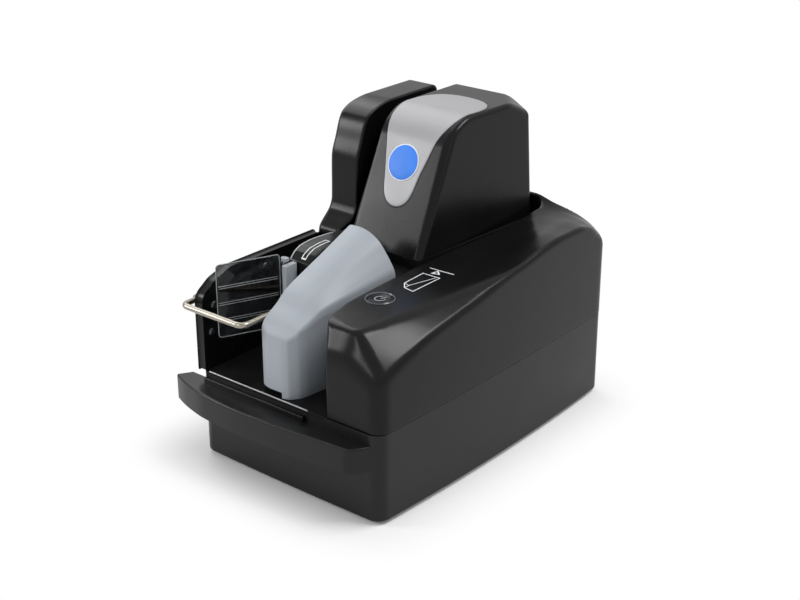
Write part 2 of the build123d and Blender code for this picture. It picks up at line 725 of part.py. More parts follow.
def crown_form(inset: float) -> Part:
    """Centre tower as a block: slanted front, leaning right face, rounded rear top."""
    low = island_top - (cut_margin if inset > 0 else 0)
    top = crown_top - inset
    rear = crown_rear - inset
    slant = Vector(crown_front_top - crown_front_foot, crown_front_top_z - island_top)
    back = inset * slant.length / slant.Y
    foot_y = crown_front_foot + back + (low - island_top) * slant.X / slant.Y
    brow_x = crown_front_top + crown_brow_middle[0] + back
    brow_z = crown_front_top_z + crown_brow_middle[1]
    round_z = top - (1 - sin(radians(45))) * crown_rear_round
    with BuildPart() as form:
        with BuildSketch(Plane.YZ):
            with BuildLine():
                Line((rear, low), (foot_y, low))
                Line((foot_y, low), (crown_front_top + back, crown_front_top_z))
                ThreePointArc(
                    (crown_front_top + back, crown_front_top_z),
                    (brow_x, brow_z - inset / 2),
                    (crown_front_top + crown_brow_length + back, top),
                )
                Line((crown_front_top + crown_brow_length + back, top), (rear - crown_rear_round, top))
                ThreePointArc(
                    (rear - crown_rear_round, top),
                    (rear - crown_rear_lean - (1 - cos(radians(45))) * crown_rear_round, round_z),
                    (rear - crown_rear_lean, top - crown_rear_round),
                )
                Line((rear - crown_rear_lean, top - crown_rear_round), (rear, low))
            make_face()
        extrude(amount=base_width, both=True)
        split(bisect_by=Plane((island_left + inset, 0, 0), z_dir=(-1, 0, 0)), keep=Keep.BOTTOM)
        lean_y = (island_right_rear - crown_rear_step - island_right_front) / (island_rear - island_front)
        face_normal = Vector(1, -lean_y, crown_lean)
        face_point = Vector(island_right_front + crown_fit - inset, island_front, island_top)
        split(bisect_by=Plane(face_point, z_dir=face_normal), keep=Keep.BOTTOM)
        right_side = form.faces().filter_by(lambda f: f.normal_at().X > 0.9).sort_by(Axis.X)[-1]
        above = [e for e in right_side.edges() if e.center().Z > low + lap]
        fillet(above, crown_edge_radius - min(inset, inner_trim))
        left_side = form.faces().filter_by(lambda f: f.normal_at().X < -0.9).sort_by(Axis.X)[0]
        above = [e for e in left_side.edges() if e.center().Z > low + lap]
        fillet(above, crown_left_radius - min(inset, inner_trim))
    return form.part


def make_centre_tower() -> None:
    """Cover of the island, with a slit for the inner sensor."""
    with BuildPart() as tower:
        add(crown_form(0))
        add(crown_form(shell_wall), mode=Mode.SUBTRACT)
        add(
            window(island_left, inner_sensor_y, (4 * shell_wall, sensor_width, sensor_height), sensor_low_z),
            mode=Mode.SUBTRACT,
        )
    save(tower, "centre_tower")


def inlay_prism() -> Part:
    """Prism with the outline of the silver inlay, along the slanted front and over the top."""
    slant = Vector(0, crown_front_top - crown_front_foot, crown_front_top_z - island_top).normalized()
    normal = Vector(0, -slant.Z, slant.Y)
    view = (normal + Vector(0, 0, inlay_view_rise)).normalized()
    plane = Plane(origin=(inlay_middle_x, crown_front_top, crown_front_top_z), x_dir=(1, 0, 0), z_dir=view)
    with BuildPart() as prism:
        with BuildSketch(plane):
            with BuildLine():
                Spline(*inlay_outline, periodic=True)
            make_face()
        extrude(amount=inlay_reach, both=True)
    return prism.part


def make_inlay_and_badge() -> None:
    """Silver inlay on the centre tower, and the round badge on it."""
    with BuildPart() as inlay:
        add(crown_form(-inlay_thickness))
        add(crown_form(0), mode=Mode.SUBTRACT)
        add(inlay_prism(), mode=Mode.INTERSECT)
    save(inlay, "tower_inlay")
    slant = Vector(0, crown_front_top - crown_front_foot, crown_front_top_z - island_top).normalized()
    normal = Vector(0, -slant.Z, slant.Y)
    foot = Vector(badge_x, crown_front_foot, island_top)
    centre = foot + slant * badge_up + normal * inlay_thickness
    with BuildPart() as badge:
        with BuildSketch(Plane(origin=centre, x_dir=(1, 0, 0), z_dir=normal)):
            Circle(badge_radius)
        extrude(amount=badge_thickness)
    save(badge, "badge_disc")


def make_outer_wall() -> None:
    """Outer wall of the exit pocket, with a sloping front end."""
    top = floor_z + outer_wall_height
    front = front_y - outer_wall_reach
    with BuildPart() as wall:
        with BuildSketch(Plane.YZ.offset(outer_wall_left)) as side:
            with BuildLine():
                Polyline(
                    (outer_wall_rear, floor_z),
                    (front, floor_z),
                    (front, floor_z + outer_wall_front_height),
                    (front + outer_wall_slope, top),
                    (outer_wall_rear, top),
                    (outer_wall_rear, floor_z),
                )
            make_face()
            bend = Vector(front, floor_z + outer_wall_front_height, 0)
            fillet(side.vertices().sort_by_distance(bend)[0], outer_wall_bend)
        extrude(amount=outer_wall_thickness)
        inner_edges = wall.faces().sort_by(Axis.X)[-1].edges()
        rim = [e for e in inner_edges if e.center().Z > floor_z + outer_wall_front_height / 3]
        rim = [e for e in rim if e.center().Y < outer_wall_rear - lap]
        chamfer(rim, outer_wall_bevel)
        with Locations(*[Location((outer_wall_right, y, z), (0, 90, 0)) for y, z in wall_screws_at]):
            Hole(screw_radius, depth=wall_screw_length)
    save(wall, "outer_wall")


def make_wall_screws() -> None:
    """Three screws on the inner face of the outer wall."""
    with BuildPart() as screws:
        with BuildSketch(Plane.YZ.offset(outer_wall_right)):
            with Locations(*wall_screws_at):
                Circle(screw_head_radius)
        extrude(amount=screw_head_height)
        with BuildSketch(Plane.YZ.offset(outer_wall_right)):
            with Locations(*wall_screws_at):
                Circle(screw_radius)
        extrude(amount=-wall_screw_length)
        with Locations(*[(outer_wall_right + screw_head_height, y, z) for y, z in wall_screws_at]):
            Box(2 * recess_depth, recess_width, recess_length, mode=Mode.SUBTRACT)
            Box(2 * recess_depth, recess_length, recess_width, mode=Mode.SUBTRACT)
    save(screws, "wall_screws")


def outer_tower_form(inset: float) -> Part:
    """Outer tower as a block: stepped front profile, softened edges."""
    low = floor_z + touch_gap - (cut_margin + inset if inset > 0 else 0)
    front = tower_front + inset
    with BuildPart() as form:
        with BuildSketch(Plane.YZ):
            with BuildLine():
                Polyline(
                    (tower_rear, low),
                    (tower_front, low),
                    (tower_front, tower_step_z),
                    *[(tower_front + y, floor_z + z) for y, z in tower_profile],
                    (tower_front + tower_top_start, tower_top),
                    (tower_rear, tower_top),
                    (tower_rear, low),
                )
            make_face()
            if inset:
                offset(amount=-inset, kind=Kind.INTERSECTION, mode=Mode.REPLACE)
        extrude(amount=base_width, both=True)
        split(bisect_by=Plane((outer_wall_left + inset, 0, 0), z_dir=(-1, 0, 0)), keep=Keep.BOTTOM)
        split(bisect_by=Plane((outer_left - inset, 0, 0), z_dir=(1, 0, 0)), keep=Keep.BOTTOM)
        # lead-in that steers a slip out of the track into the pocket
        lead_at = (outer_left - tower_lead_in - inset, front, low)
        lead = Plane(lead_at, x_dir=(0, 0, 1), z_dir=(1, -tower_lead_slope, 0))
        split(bisect_by=lead, keep=Keep.BOTTOM)
        rear_upright = form.edges().filter_by(Axis.Z).group_by(Axis.Y)[-1]
        fillet(rear_upright, tower_edge_radius - min(inset, inner_trim))
    return form.part


def make_outer_tower() -> None:
    """Outer tower: a cover on a hinge that opens the left run of the track."""
    with BuildPart() as tower:
        add(outer_tower_form(0))
        add(outer_tower_form(shell_wall), mode=Mode.SUBTRACT)
        add(
            window(outer_left, outer_sensor_y, (4 * shell_wall, sensor_width, sensor_height), sensor_low_z),
            mode=Mode.SUBTRACT,
        )
        add(
            roller_window(pinch_places()[2], pinch_radius, roller_low_z, roller_length),
            mode=Mode.SUBTRACT,
        )
        # shelves that carry the pinch roller's pin
        lower_shelf_z = roller_low_z - window_margin - shelf_thickness
        upper_shelf_z = roller_low_z + roller_length + window_margin
        for low in (lower_shelf_z, upper_shelf_z):
            with BuildSketch(Plane.XY.offset(low)):
                with Locations(((outer_wall_left + outer_left) / 2, pinch_places()[2][1])):
                    Rectangle(left_width - 2 * lap, 2 * pinch_radius)
                with Locations(pinch_places()[2]):
                    Circle(pinch_pin_radius, mode=Mode.SUBTRACT)
            extrude(amount=shelf_thickness)
        with Locations((*pinch_places()[2], roller_mid_z)):
            Cylinder(pinch_pin_radius, 2 * roller_length, mode=Mode.SUBTRACT)
        # knuckles on the hinge pin
        for low in knuckle_low_z:
            with BuildSketch(Plane.XY.offset(low)):
                with Locations((hinge_x, hinge_y)):
                    Circle(knuckle_radius)
                with Locations((hinge_x, (hinge_y + tower_rear - lap) / 2)):
                    Rectangle(knuckle_web, hinge_y - tower_rear + lap)
                with Locations((hinge_x, hinge_y)):
                    Circle(hinge_pin_radius + pin_clearance, mode=Mode.SUBTRACT)
            extrude(amount=knuckle_height)
    save(tower, "outer_tower")


def hood_section(y: float, inset: float) -> Sketch:
    """Cross-section of the hood at one Y: upright sides and a rounded right shoulder."""
    nose_share = min((y - hood_front) / (hood_shoulder_y - hood_front), 1.0)
    share = max((y - hood_shoulder_y) / (hood_rear - hood_shoulder_y), 0.0)
    nose_top = hood_front_z + (hood_shoulder_z - hood_front_z) * nose_share
    top = nose_top + (hood_rear_z - hood_shoulder_z) * share - inset
    drop = hood_side_drop + (hood_rear_drop - hood_side_drop) * share
    run = hood_side_run + (hood_rear_run - hood_side_run) * share
    left = hood_left + inset
    right = hood_right(y) - inset
    low = floor_z - (cut_margin if inset else 0)
    with BuildSketch(Plane.XZ.offset(-y)) as section:
        with BuildLine():
            Line((right, top - drop), (right, low))
            Line((right, low), (left, low))
            Line((left, low), (left, top - hood_crest_drop))
            Line((left, top - hood_crest_drop), (left + hood_crest_run, top))
            Line((left + hood_crest_run, top), (right - run, top))
            shoulder = (right - run * (1 - sin(radians(45))), top - drop * (1 - cos(radians(45))))
            ThreePointArc((right, top - drop), shoulder, (right - run, top))
        make_face()
    return section.sketch


def hood_plan(inset: float) -> Sketch:
    """Plan of the hood: rounded nose, straight left side, right side opening to the rear."""
    left = hood_left + inset
    right = hood_right_front - inset
    nose = hood_front + inset
    rear = hood_rear + (cut_margin if inset else 0)
    left_start = (left, hood_shoulder_y + hood_nose_back[0])
    right_end = (right, hood_shoulder_y + hood_nose_back[1])
    tip = (left + hood_nose_tip, nose)
    rear_right = (hood_right(hood_rear) - inset, rear)
    with BuildSketch() as plan:
        with BuildLine():
            Line((left, rear), left_start)
            ThreePointArc(left_start, (left + hood_nose_left[0], nose + hood_nose_left[1]), tip)
            ThreePointArc(tip, (right - hood_nose_right[0], nose + hood_nose_right[1]), right_end)
            Line(right_end, rear_right)
            Line(rear_right, (left, rear))
        make_face()
    return plan.sketch


def hood_form(inset: float) -> Part:
    """Hood as a block: lofted from its cross-sections, then cut to its plan."""
    rear = hood_rear + (cut_margin if inset else 0)
    with BuildPart() as form:
        loft(sections=[hood_section(y, inset) for y in (hood_front - lap, hood_shoulder_y)])
        loft(sections=[hood_section(y, inset) for y in (hood_shoulder_y, rear)])
        with BuildSketch(Plane.XY.offset(floor_z - cut_margin)):
            add(hood_plan(inset))
        extrude(amount=hood_rear_z + 3 * cut_margin - floor_z, mode=Mode.INTERSECT)
    return form.part


def make_divider_hood() -> None:
    """Grey hood between the pockets: thin walls, a lifted nose and a window for the feed roller."""
    with BuildPart() as hood:
        add(hood_form(0))
        add(hood_form(hood_wall), mode=Mode.SUBTRACT)
        add(roller_window(shaft_places()[0], feed_radius, roller_low_z, roller_length), mode=Mode.SUBTRACT)
        with BuildSketch(Plane.XY.offset(floor_z)):
            with Locations((hood_left - cut_margin, hood_front - cut_margin)):
                Rectangle(
                    hood_lift_x - hood_left + cut_margin,
                    hood_lift_length + cut_margin,
                    align=(Align.MIN, Align.MIN),
                )
        extrude(amount=hood_lift, mode=Mode.SUBTRACT)
    save(hood, "divider_hood")


def block_form(inset: float) -> Part:
    """Feeder block: a column with a curved top beside the hood, and a low bridge to the island."""
    low = floor_z - (cut_margin if inset else 0)
    left = block_left + inset
    right = hood_left - inset
    bridge_left = right - 2 * inset - lap
    front = block_front + inset
    rear = island_front - inset
    with BuildPart() as form:
        with BuildSketch(Plane.YZ.offset(left)):
            with BuildLine():
                Line((rear, block_rear_top - inset), (rear, low))
                Line((rear, low), (front, low))
                Line((front, low), (front, block_front_top - inset))
                ThreePointArc(
                    (front, block_front_top - inset),
                    (front + block_crest_back, block_top - inset),
                    (rear, block_rear_top - inset),
                )
            make_face()
        extrude(amount=right - left)
        with BuildSketch(Plane.XY.offset(low)):
            with BuildLine():
                Polyline(
                    (bridge_left, hood_rear + touch_gap + inset),
                    (hood_right(hood_rear) - inset, hood_rear + touch_gap + inset),
                    (island_right(island_front) - inset, rear),
                    (bridge_left, rear),
                    (bridge_left, hood_rear + touch_gap + inset),
                )
            make_face()
        extrude(amount=block_step_z - inset - low)
    return form.part


def make_feeder_block() -> None:
    """Black block that carries the wire stop's right leg and closes the gap to the tower."""
    with BuildPart() as block:
        add(block_form(0))
        add(block_form(shell_wall), mode=Mode.SUBTRACT)
        # guide for the wire stop, open at the front
        with Locations(Location((wire_right_x, block_front, wire_z), (90, 0, 0))):
            Cylinder(wire_radius + guide_wall, guide_length, align=HANGING)
            Cylinder(
                wire_radius + pin_clearance,
                2 * (guide_length + lap),
                align=MIDDLE,
                mode=Mode.SUBTRACT,
            )
        # channel for the leg behind the guide
        with Locations(Location((wire_right_x, block_front + guide_length, wire_z), (90, 0, 0))):
            Cylinder(
                wire_radius + touch_gap,
                island_front - block_front - guide_length - shell_wall,
                align=HANGING,
                mode=Mode.SUBTRACT,
            )
    save(block, "feeder_block")


def make_flap_post() -> None:
    """Grey post that carries the pin of the exit flap."""
    middle = ((post_left + post_right) / 2, (post_front + post_rear) / 2)
    with BuildPart() as post:
        with BuildSketch(Plane.XY.offset(floor_z)):
            with Locations(middle):
                Rectangle(post_right - post_left, post_rear - post_front)
        extrude(amount=post_top - floor_z)
        chamfer(post.edges().filter_by(Axis.Z), post_chamfer)
        for low in (flap_bottom - ear_thickness - touch_gap, flap_top - ear_top_drop + touch_gap):
            with BuildSketch(Plane.XY.offset(low)):
                with Locations((flap_pin_x, flap_pin_y)):
                    Circle(flap_knuckle_radius)
                with Locations(((flap_pin_x + post_left + lap) / 2, flap_pin_y)):
                    Rectangle(post_left - flap_pin_x + lap, 2 * flap_knuckle_radius)
                with Locations((flap_pin_x, flap_pin_y)):
                    Circle(flap_pin_radius, mode=Mode.SUBTRACT)
            extrude(amount=ear_thickness)
    save(post, "flap_post")


def make_flap_pin() -> None:
    """Steel pin of the exit flap."""
    low = flap_bottom - ear_thickness - touch_gap
    high = flap_top - ear_top_drop + touch_gap + ear_thickness
    with BuildPart() as pin:
        with Locations((flap_pin_x, flap_pin_y, low)):
            Cylinder(flap_pin_radius, high - low, align=UPRIGHT)
    save(pin, "flap_pin")


def make_exit_flap() -> None:
    """Clear flap that leans the sorted slips against the outer wall."""
    pivot = Vector(flap_pin_x, flap_pin_y, 0)
    along = Plane(origin=pivot, x_dir=flap_dir, z_dir=(0, 0, 1))
    knuckle_top = flap_top - ear_top_drop
    rib_length = flap_length - flap_rib_start - flap_rib_end
    with BuildPart() as flap:
        with BuildSketch(along.offset(flap_bottom)):
            with Locations((flap_length / 2, 0)):
                Rectangle(flap_length, flap_thickness)
        extrude(amount=flap_top - flap_bottom)
        corners = [e for e in flap.edges() if (e.center() - pivot).dot(flap_dir) > flap_length - 0.01]
        corners = [e for e in corners if abs(e.center().Z - (flap_bottom + flap_top) / 2) > 5]
        fillet([e for e in corners if e.length < flap_thickness + 0.1], flap_corner_radius)
        # the upper inner corner is cut down to the knuckle
        with BuildSketch(along.offset(knuckle_top)):
            with Locations((0, 0)):
                Rectangle(2 * (flap_knuckle_radius + lap), 4 * flap_knuckle_radius)
        extrude(amount=flap_top, mode=Mode.SUBTRACT)
        with BuildSketch(along.offset(flap_bottom)):
            Circle(flap_knuckle_radius)
        extrude(amount=knuckle_top - flap_bottom)
        with Locations((flap_pin_x, flap_pin_y, flap_bottom)):
            Cylinder(
                flap_pin_radius + pin_clearance,
                3 * flap_length,
                align=MIDDLE,
                mode=Mode.SUBTRACT,
            )
        # ribs, in pairs of fine ridges on both faces
        for step in range(1, flap_rib_count + 1):
            with BuildSketch(along.offset(flap_bottom + step * flap_rib_pitch - flap_rib_height)):
                with Locations(((flap_length + flap_rib_start - flap_rib_end) / 2, 0)):
                    Rectangle(rib_length, flap_thickness + 2 * flap_rib_stand)
            extrude(amount=flap_rib_height)
    save(flap, "exit_flap")


def make_wire_stop() -> None:
    """Bent wire that stops the slips in front of the exit pocket."""
    path_points = (
        (wire_left_x, collar_front + collar_length + wire_travel + wire_left_spare, wire_z),
        (wire_left_x, wire_front_y, wire_z),
        (wire_right_x, wire_front_y, wire_z),
        (wire_right_x, block_front + wire_travel + wire_right_hold, wire_z),
    )
    with BuildPart() as wire:
        with BuildLine() as path:
            FilletPolyline(*path_points, radius=wire_bend_radius)
        with BuildSketch(Plane(origin=path_points[0], z_dir=(0, -1, 0))):
            Circle(wire_radius)
        sweep(path=path.wires()[0])
        ends = wire.faces().sort_by(Axis.Y)[-2:]
        chamfer(ends.edges(), wire_chamfer)
    save(wire, "wire_stop")


def make_wire_collar() -> None:
    """Sleeve on the outside of the outer wall that the wire stop slides in."""
    with BuildPart() as collar:
        with BuildSketch(Plane.XZ.offset(-collar_front)):
            with Locations((wire_left_x, wire_z)):
                Circle(collar_radius)
            with Locations(((wire_left_x + outer_wall_left) / 2, wire_z)):
                Rectangle(outer_wall_left - wire_left_x, 2 * (collar_radius - lap))
            with Locations((outer_wall_left - collar_plate / 2, wire_z)):
                Rectangle(collar_plate, 4 * collar_radius)
            with Locations((wire_left_x, wire_z)):
                Circle(wire_radius + pin_clearance, mode=Mode.SUBTRACT)
        extrude(amount=-collar_length)
    save(collar, "wire_collar")


def tray_outline(inset: float) -> Sketch:
    """Plan of the tray: a shallow bow in front of the base, with a wing past its left side."""
    left = outer_wall_left - tray_wing + inset
    right = tray_right - inset
    front = front_y + inset
    wing_tip = (left, front - tray_wing_front)
    corner = (right - tray_corner[0], front - tray_corner[1])
    with BuildSketch() as plan:
        with BuildLine():
            ThreePointArc(wing_tip, (tray_bow_x, front - tray_depth), corner)
            Polyline(
                corner,
                (right - tray_bevel[0], front - tray_bevel[1]),
                (right, front_y),
                (right, front_y + tray_overlap),
                (left + tray_wing_slant + inset, front_y + tray_overlap - inset),
                wing_tip,
            )
        make_face()
    return plan.sketch


def make_front_tray() -> None:
    """Tray along the front of the base: a top, a front wall and a lip against the base."""
    low = tray_top_z - tray_height
    with BuildPart() as tray:
        with BuildSketch(Plane.XY.offset(low)):
            add(tray_outline(0))
        extrude(amount=tray_height)
        chamfer(tray.faces().sort_by(Axis.Z)[-1].edges().sort_by(Axis.Y)[0], tray_chamfer)
        with BuildSketch(Plane.XY.offset(low)):
            add(tray_outline(tray_wall))
        extrude(amount=tray_height - tray_wall, mode=Mode.SUBTRACT)
        with BuildSketch(Plane.XY.offset(tray_top_z - tray_wall)):
            with Locations((tongue_left, front_y - front_bow - tray_lip_depth)):
                Rectangle(tray_lip_right - tongue_left, 2 * tray_lip_depth, align=(Align.MIN, Align.MIN))
        extrude(amount=tray_wall + tray_lip_height)
        add(tub_form(0, foot_height, parting_z), mode=Mode.SUBTRACT)
    save(tray, "front_tray")


def make_power_button() -> None:
    """Push button and the cup-shaped bezel that guides it."""
    rim_z = cover_height(button_y) + bezel_stand
    cap_z = rim_z - cap_drop
    with BuildPart() as button:
        with Locations((button_x, button_y, cap_z)):
            Cylinder(button_radius, button_height, align=HANGING)
        fillet(button.faces().sort_by(Axis.Z)[-1].edges(), cap_edge_radius)
        with Locations((button_x, button_y, cap_z - button_height)):
            Cylinder(
                button_radius - stem_step,
                cup_depth - button_height - cap_drop - button_travel - touch_gap,
                align=HANGING,
            )
    save(button, "power_button")
    inner = button_radius + touch_gap
    with BuildPart() as bezel:
        with Locations((button_x, button_y, rim_z)):
            Cylinder(bezel_radius, bezel_stand + bezel_flange, align=HANGING)
        with Locations((button_x, button_y, rim_z)):
            Cylinder(cup_radius, cup_depth + cup_floor, align=HANGING)
            Cylinder(inner, cup_depth, align=HANGING, mode=Mode.SUBTRACT)
        fillet(bezel.faces().sort_by(Axis.Z)[-1].edges(), bezel_edge_radius)
    save(bezel, "button_bezel")


def make_roller(name: str, place: tuple[float, float], radius: float, core: float) -> None:
    """Rubber roller on a core of the given radius, with softened rims."""
    with BuildPart() as roller:
        with Locations((*place, roller_low_z)):
            Cylinder(radius, roller_length, align=UPRIGHT)
        fillet(roller.edges(), roller_edge_radius)
        with Locations((*place, roller_low_z)):
            Cylinder(
                core, 3 * roller_length, align=MIDDLE, mode=Mode.SUBTRACT
            )
    save(roller, name)


def make_shaft(name: str, place: tuple[float, float], top: float) -> None:
    """Driven shaft from its pulley up through the chassis plate to its roller."""
    with BuildPart() as shaft:
        with Locations((*place, pulley_bottom - shaft_tail)):
            Cylinder(shaft_radius, top - pulley_bottom + shaft_tail, align=UPRIGHT)
        chamfer(shaft.faces().sort_by(Axis.Z)[-1].edges(), shaft_chamfer)
    save(shaft, name)


def make_pulley(name: str, place: tuple[float, float]) -> None:
    """Flanged belt pulley."""
    with BuildPart() as pulley:
        with Locations((*place, pulley_bottom)):
            Cylinder(pulley_radius, pulley_height, align=UPRIGHT)
        for low in (pulley_bottom, pulley_top - pulley_flange):
            with Locations((*place, low)):
                Cylinder(
                    pulley_radius + belt_thickness,
                    pulley_flange,
                    align=UPRIGHT,
                )
        with Locations((*place, pulley_bottom)):
            Cylinder(
                shaft_radius,
                3 * pulley_height,
                align=MIDDLE,
                mode=Mode.SUBTRACT,
            )
    save(pulley, name)


def make_driven_rollers() -> None:
    """Feed roller and drive rollers, each with its shaft and pulley."""
    names = ("feed", "drive_1", "drive_2", "drive_3")
    radii = (feed_radius, roller_radius, roller_radius, left_roller_radius)
    feed_shaft_top = roller_low_z + roller_length + shaft_stand
    for name, place, radius in zip(names, shaft_places(), radii):
        top = feed_shaft_top if name == "feed" else island_top
        make_roller(f"{name}_roller", place, radius, shaft_radius)
        make_shaft(f"{name}_shaft", place, top)
        make_pulley(f"{name}_pulley", place)


def make_bushes() -> None:
    """Bushes that the driven shafts turn in, pressed into the chassis plate."""
    with BuildPart() as bushes:
        with BuildSketch(Plane.XY.offset(plate_bottom - bush_flange)):
            with Locations(*shaft_places()):
                Circle(bush_radius + lap)
        extrude(amount=bush_flange)
        with BuildSketch(Plane.XY.offset(plate_bottom)):
            with Locations(*shaft_places()):
                Circle(bush_radius)
        extrude(amount=parting_z - plate_bottom)
        with BuildSketch(Plane.XY.offset(plate_bottom - bush_flange)):
            with Locations(*shaft_places()):
                Circle(shaft_radius + pin_clearance)
        extrude(amount=parting_z, mode=Mode.SUBTRACT)
    save(bushes, "shaft_bushes")


def make_pinch_rollers() -> None:
    """Pinch rollers and the retard roller, each on its own pin."""
    for number, place in enumerate(pinch_places(), start=1):
        make_roller(f"pinch_{number}_roller", place, pinch_radius, pinch_pin_radius + pin_clearance)
    make_roller("retard_roller", retard_place(), retard_radius, pinch_pin_radius + pin_clearance)
    low = roller_low_z - window_margin - shelf_thickness
    with BuildPart() as pins:
        with BuildSketch(Plane.XY.offset(floor_z)):
            with Locations(*pinch_places()[:2], retard_place()):
                Circle(pinch_pin_radius)
        extrude(amount=roller_low_z + roller_length + shaft_stand - floor_z)
        # a shoulder under each roller
        with BuildSketch(Plane.XY.offset(floor_z)):
            with Locations(*pinch_places()[:2], retard_place()):
                Circle(pinch_pin_radius + pin_shoulder)
        extrude(amount=roller_low_z - touch_gap - floor_z)
    save(pins, "pinch_pins")
    with BuildPart() as pin:
        with Locations((*pinch_places()[2], low)):
            Cylinder(
                pinch_pin_radius,
                roller_length + 2 * (window_margin + shelf_thickness),
                align=UPRIGHT,
            )
    save(pin, "outer_pinch_pin")


def make_feed_arm() -> None:
    """Sprung arm that pushes the slips against the hood, on its own pin."""
    pivot = (arm_pivot_x, arm_pivot_y)
    tip = (hood_right(arm_tip_y) + arm_tip_gap, arm_tip_y)
    low = arm_low_z
    with BuildPart() as arm:
        with BuildSketch(Plane.XY.offset(low)):
            with BuildLine():
                ThreePointArc(pivot, ((pivot[0] + tip[0]) / 2, (pivot[1] + tip[1]) / 2 - arm_belly), tip)
            trace(line_width=arm_thickness)
            with Locations(pivot):
                Circle(arm_boss_radius)
                Circle(arm_pin_radius + pin_clearance, mode=Mode.SUBTRACT)
        extrude(amount=arm_height)
    save(arm, "feed_arm")
    with BuildPart() as pin:
        with Locations((*pivot, floor_z)):
            Cylinder(
                arm_pin_radius, low + arm_height + arm_pin_stand - floor_z, align=UPRIGHT
            )
            Cylinder(
                arm_boss_radius, low - touch_gap - floor_z, align=UPRIGHT
            )
    save(pin, "feed_arm_pin")


def make_motor() -> None:
    """Motor, its bracket, its pulley and the belt that drives the shafts."""
    bracket_z = plate_bottom - bracket_drop
    leg_x = motor_size / 2 + bracket_wing - bracket_leg / 2
    place = (motor_x, motor_y)
    with BuildPart() as bracket:
        with BuildSketch(Plane.XY.offset(bracket_z - bracket_thickness)):
            with Locations(place):
                Rectangle(motor_size + 2 * bracket_wing, motor_size)
                Circle(pulley_radius, mode=Mode.SUBTRACT)
        extrude(amount=bracket_thickness)
        for side in (-1, 1):
            with Locations((motor_x + side * leg_x, motor_y, bracket_z)):
                Box(bracket_leg, motor_size, bracket_drop, align=UPRIGHT)
    save(bracket, "motor_bracket")
    with BuildPart() as motor:
        with BuildSketch(Plane.XY.offset(bracket_z - bracket_thickness)):
            with Locations(place):
                RectangleRounded(motor_size, motor_size, motor_corner_radius)
        extrude(amount=-motor_length)
        with Locations((*place, bracket_z - bracket_thickness)):
            Cylinder(pulley_radius - lap, motor_collar_height, align=UPRIGHT)
            Cylinder(
                shaft_radius + pin_clearance,
                2 * motor_bore_depth,
                align=MIDDLE,
                mode=Mode.SUBTRACT,
            )
    save(motor, "motor")
    with BuildPart() as shaft:
        with Locations((*place, bracket_z - motor_shaft_hold)):
            Cylinder(
                shaft_radius,
                pulley_top + lap - bracket_z + motor_shaft_hold,
                align=UPRIGHT,
            )
    save(shaft, "motor_shaft")
    make_pulley("motor_pulley", place)
    with BuildPart() as belt:
        loop_z = (pulley_bottom + pulley_top - belt_width) / 2
        for grow, mode in ((belt_thickness, Mode.ADD), (0, Mode.SUBTRACT)):
            with BuildSketch(Plane.XY.offset(loop_z)):
                with Locations(*shaft_places(), place):
                    Circle(pulley_radius + touch_gap + grow)
                make_hull()
            extrude(amount=belt_width, mode=mode)
    save(belt, "drive_belt")


def make_sensors() -> None:
    """Image sensors of both towers with their glasses, and the magnetic head."""
    low = sensor_low_z + sensor_clear
    height = sensor_height - 2 * sensor_clear
    width = sensor_width - 2 * sensor_clear
    for name, face_x, y, inward in (
        ("inner_sensor", island_left, inner_sensor_y, 1),
        ("outer_sensor", outer_left, outer_sensor_y, -1),
    ):
        glass_x = face_x + inward * (glass_recess + glass_thickness / 2)
        body_x = face_x + inward * (glass_recess + glass_thickness + sensor_depth / 2)
        with BuildPart() as glass:
            with Locations((glass_x, y, low)):
                Box(glass_thickness, width, height, align=UPRIGHT)
        save(glass, f"{name}_glass")
        with BuildPart() as body:
            with Locations((body_x, y, low)):
                Box(sensor_depth, width, height, align=UPRIGHT)
        save(body, name)
    with BuildPart() as head:
        with BuildSketch(Plane.XY.offset(floor_z)):
            with Locations((island_right(head_y) + head_reach - head_depth / 2, head_y)):
                Rectangle(head_depth, head_width - 2 * sensor_clear)
        extrude(amount=head_height)
        fillet(head.edges().filter_by(Axis.Z).group_by(Axis.X)[-1], head_nose_radius)
    save(head, "magnetic_head")


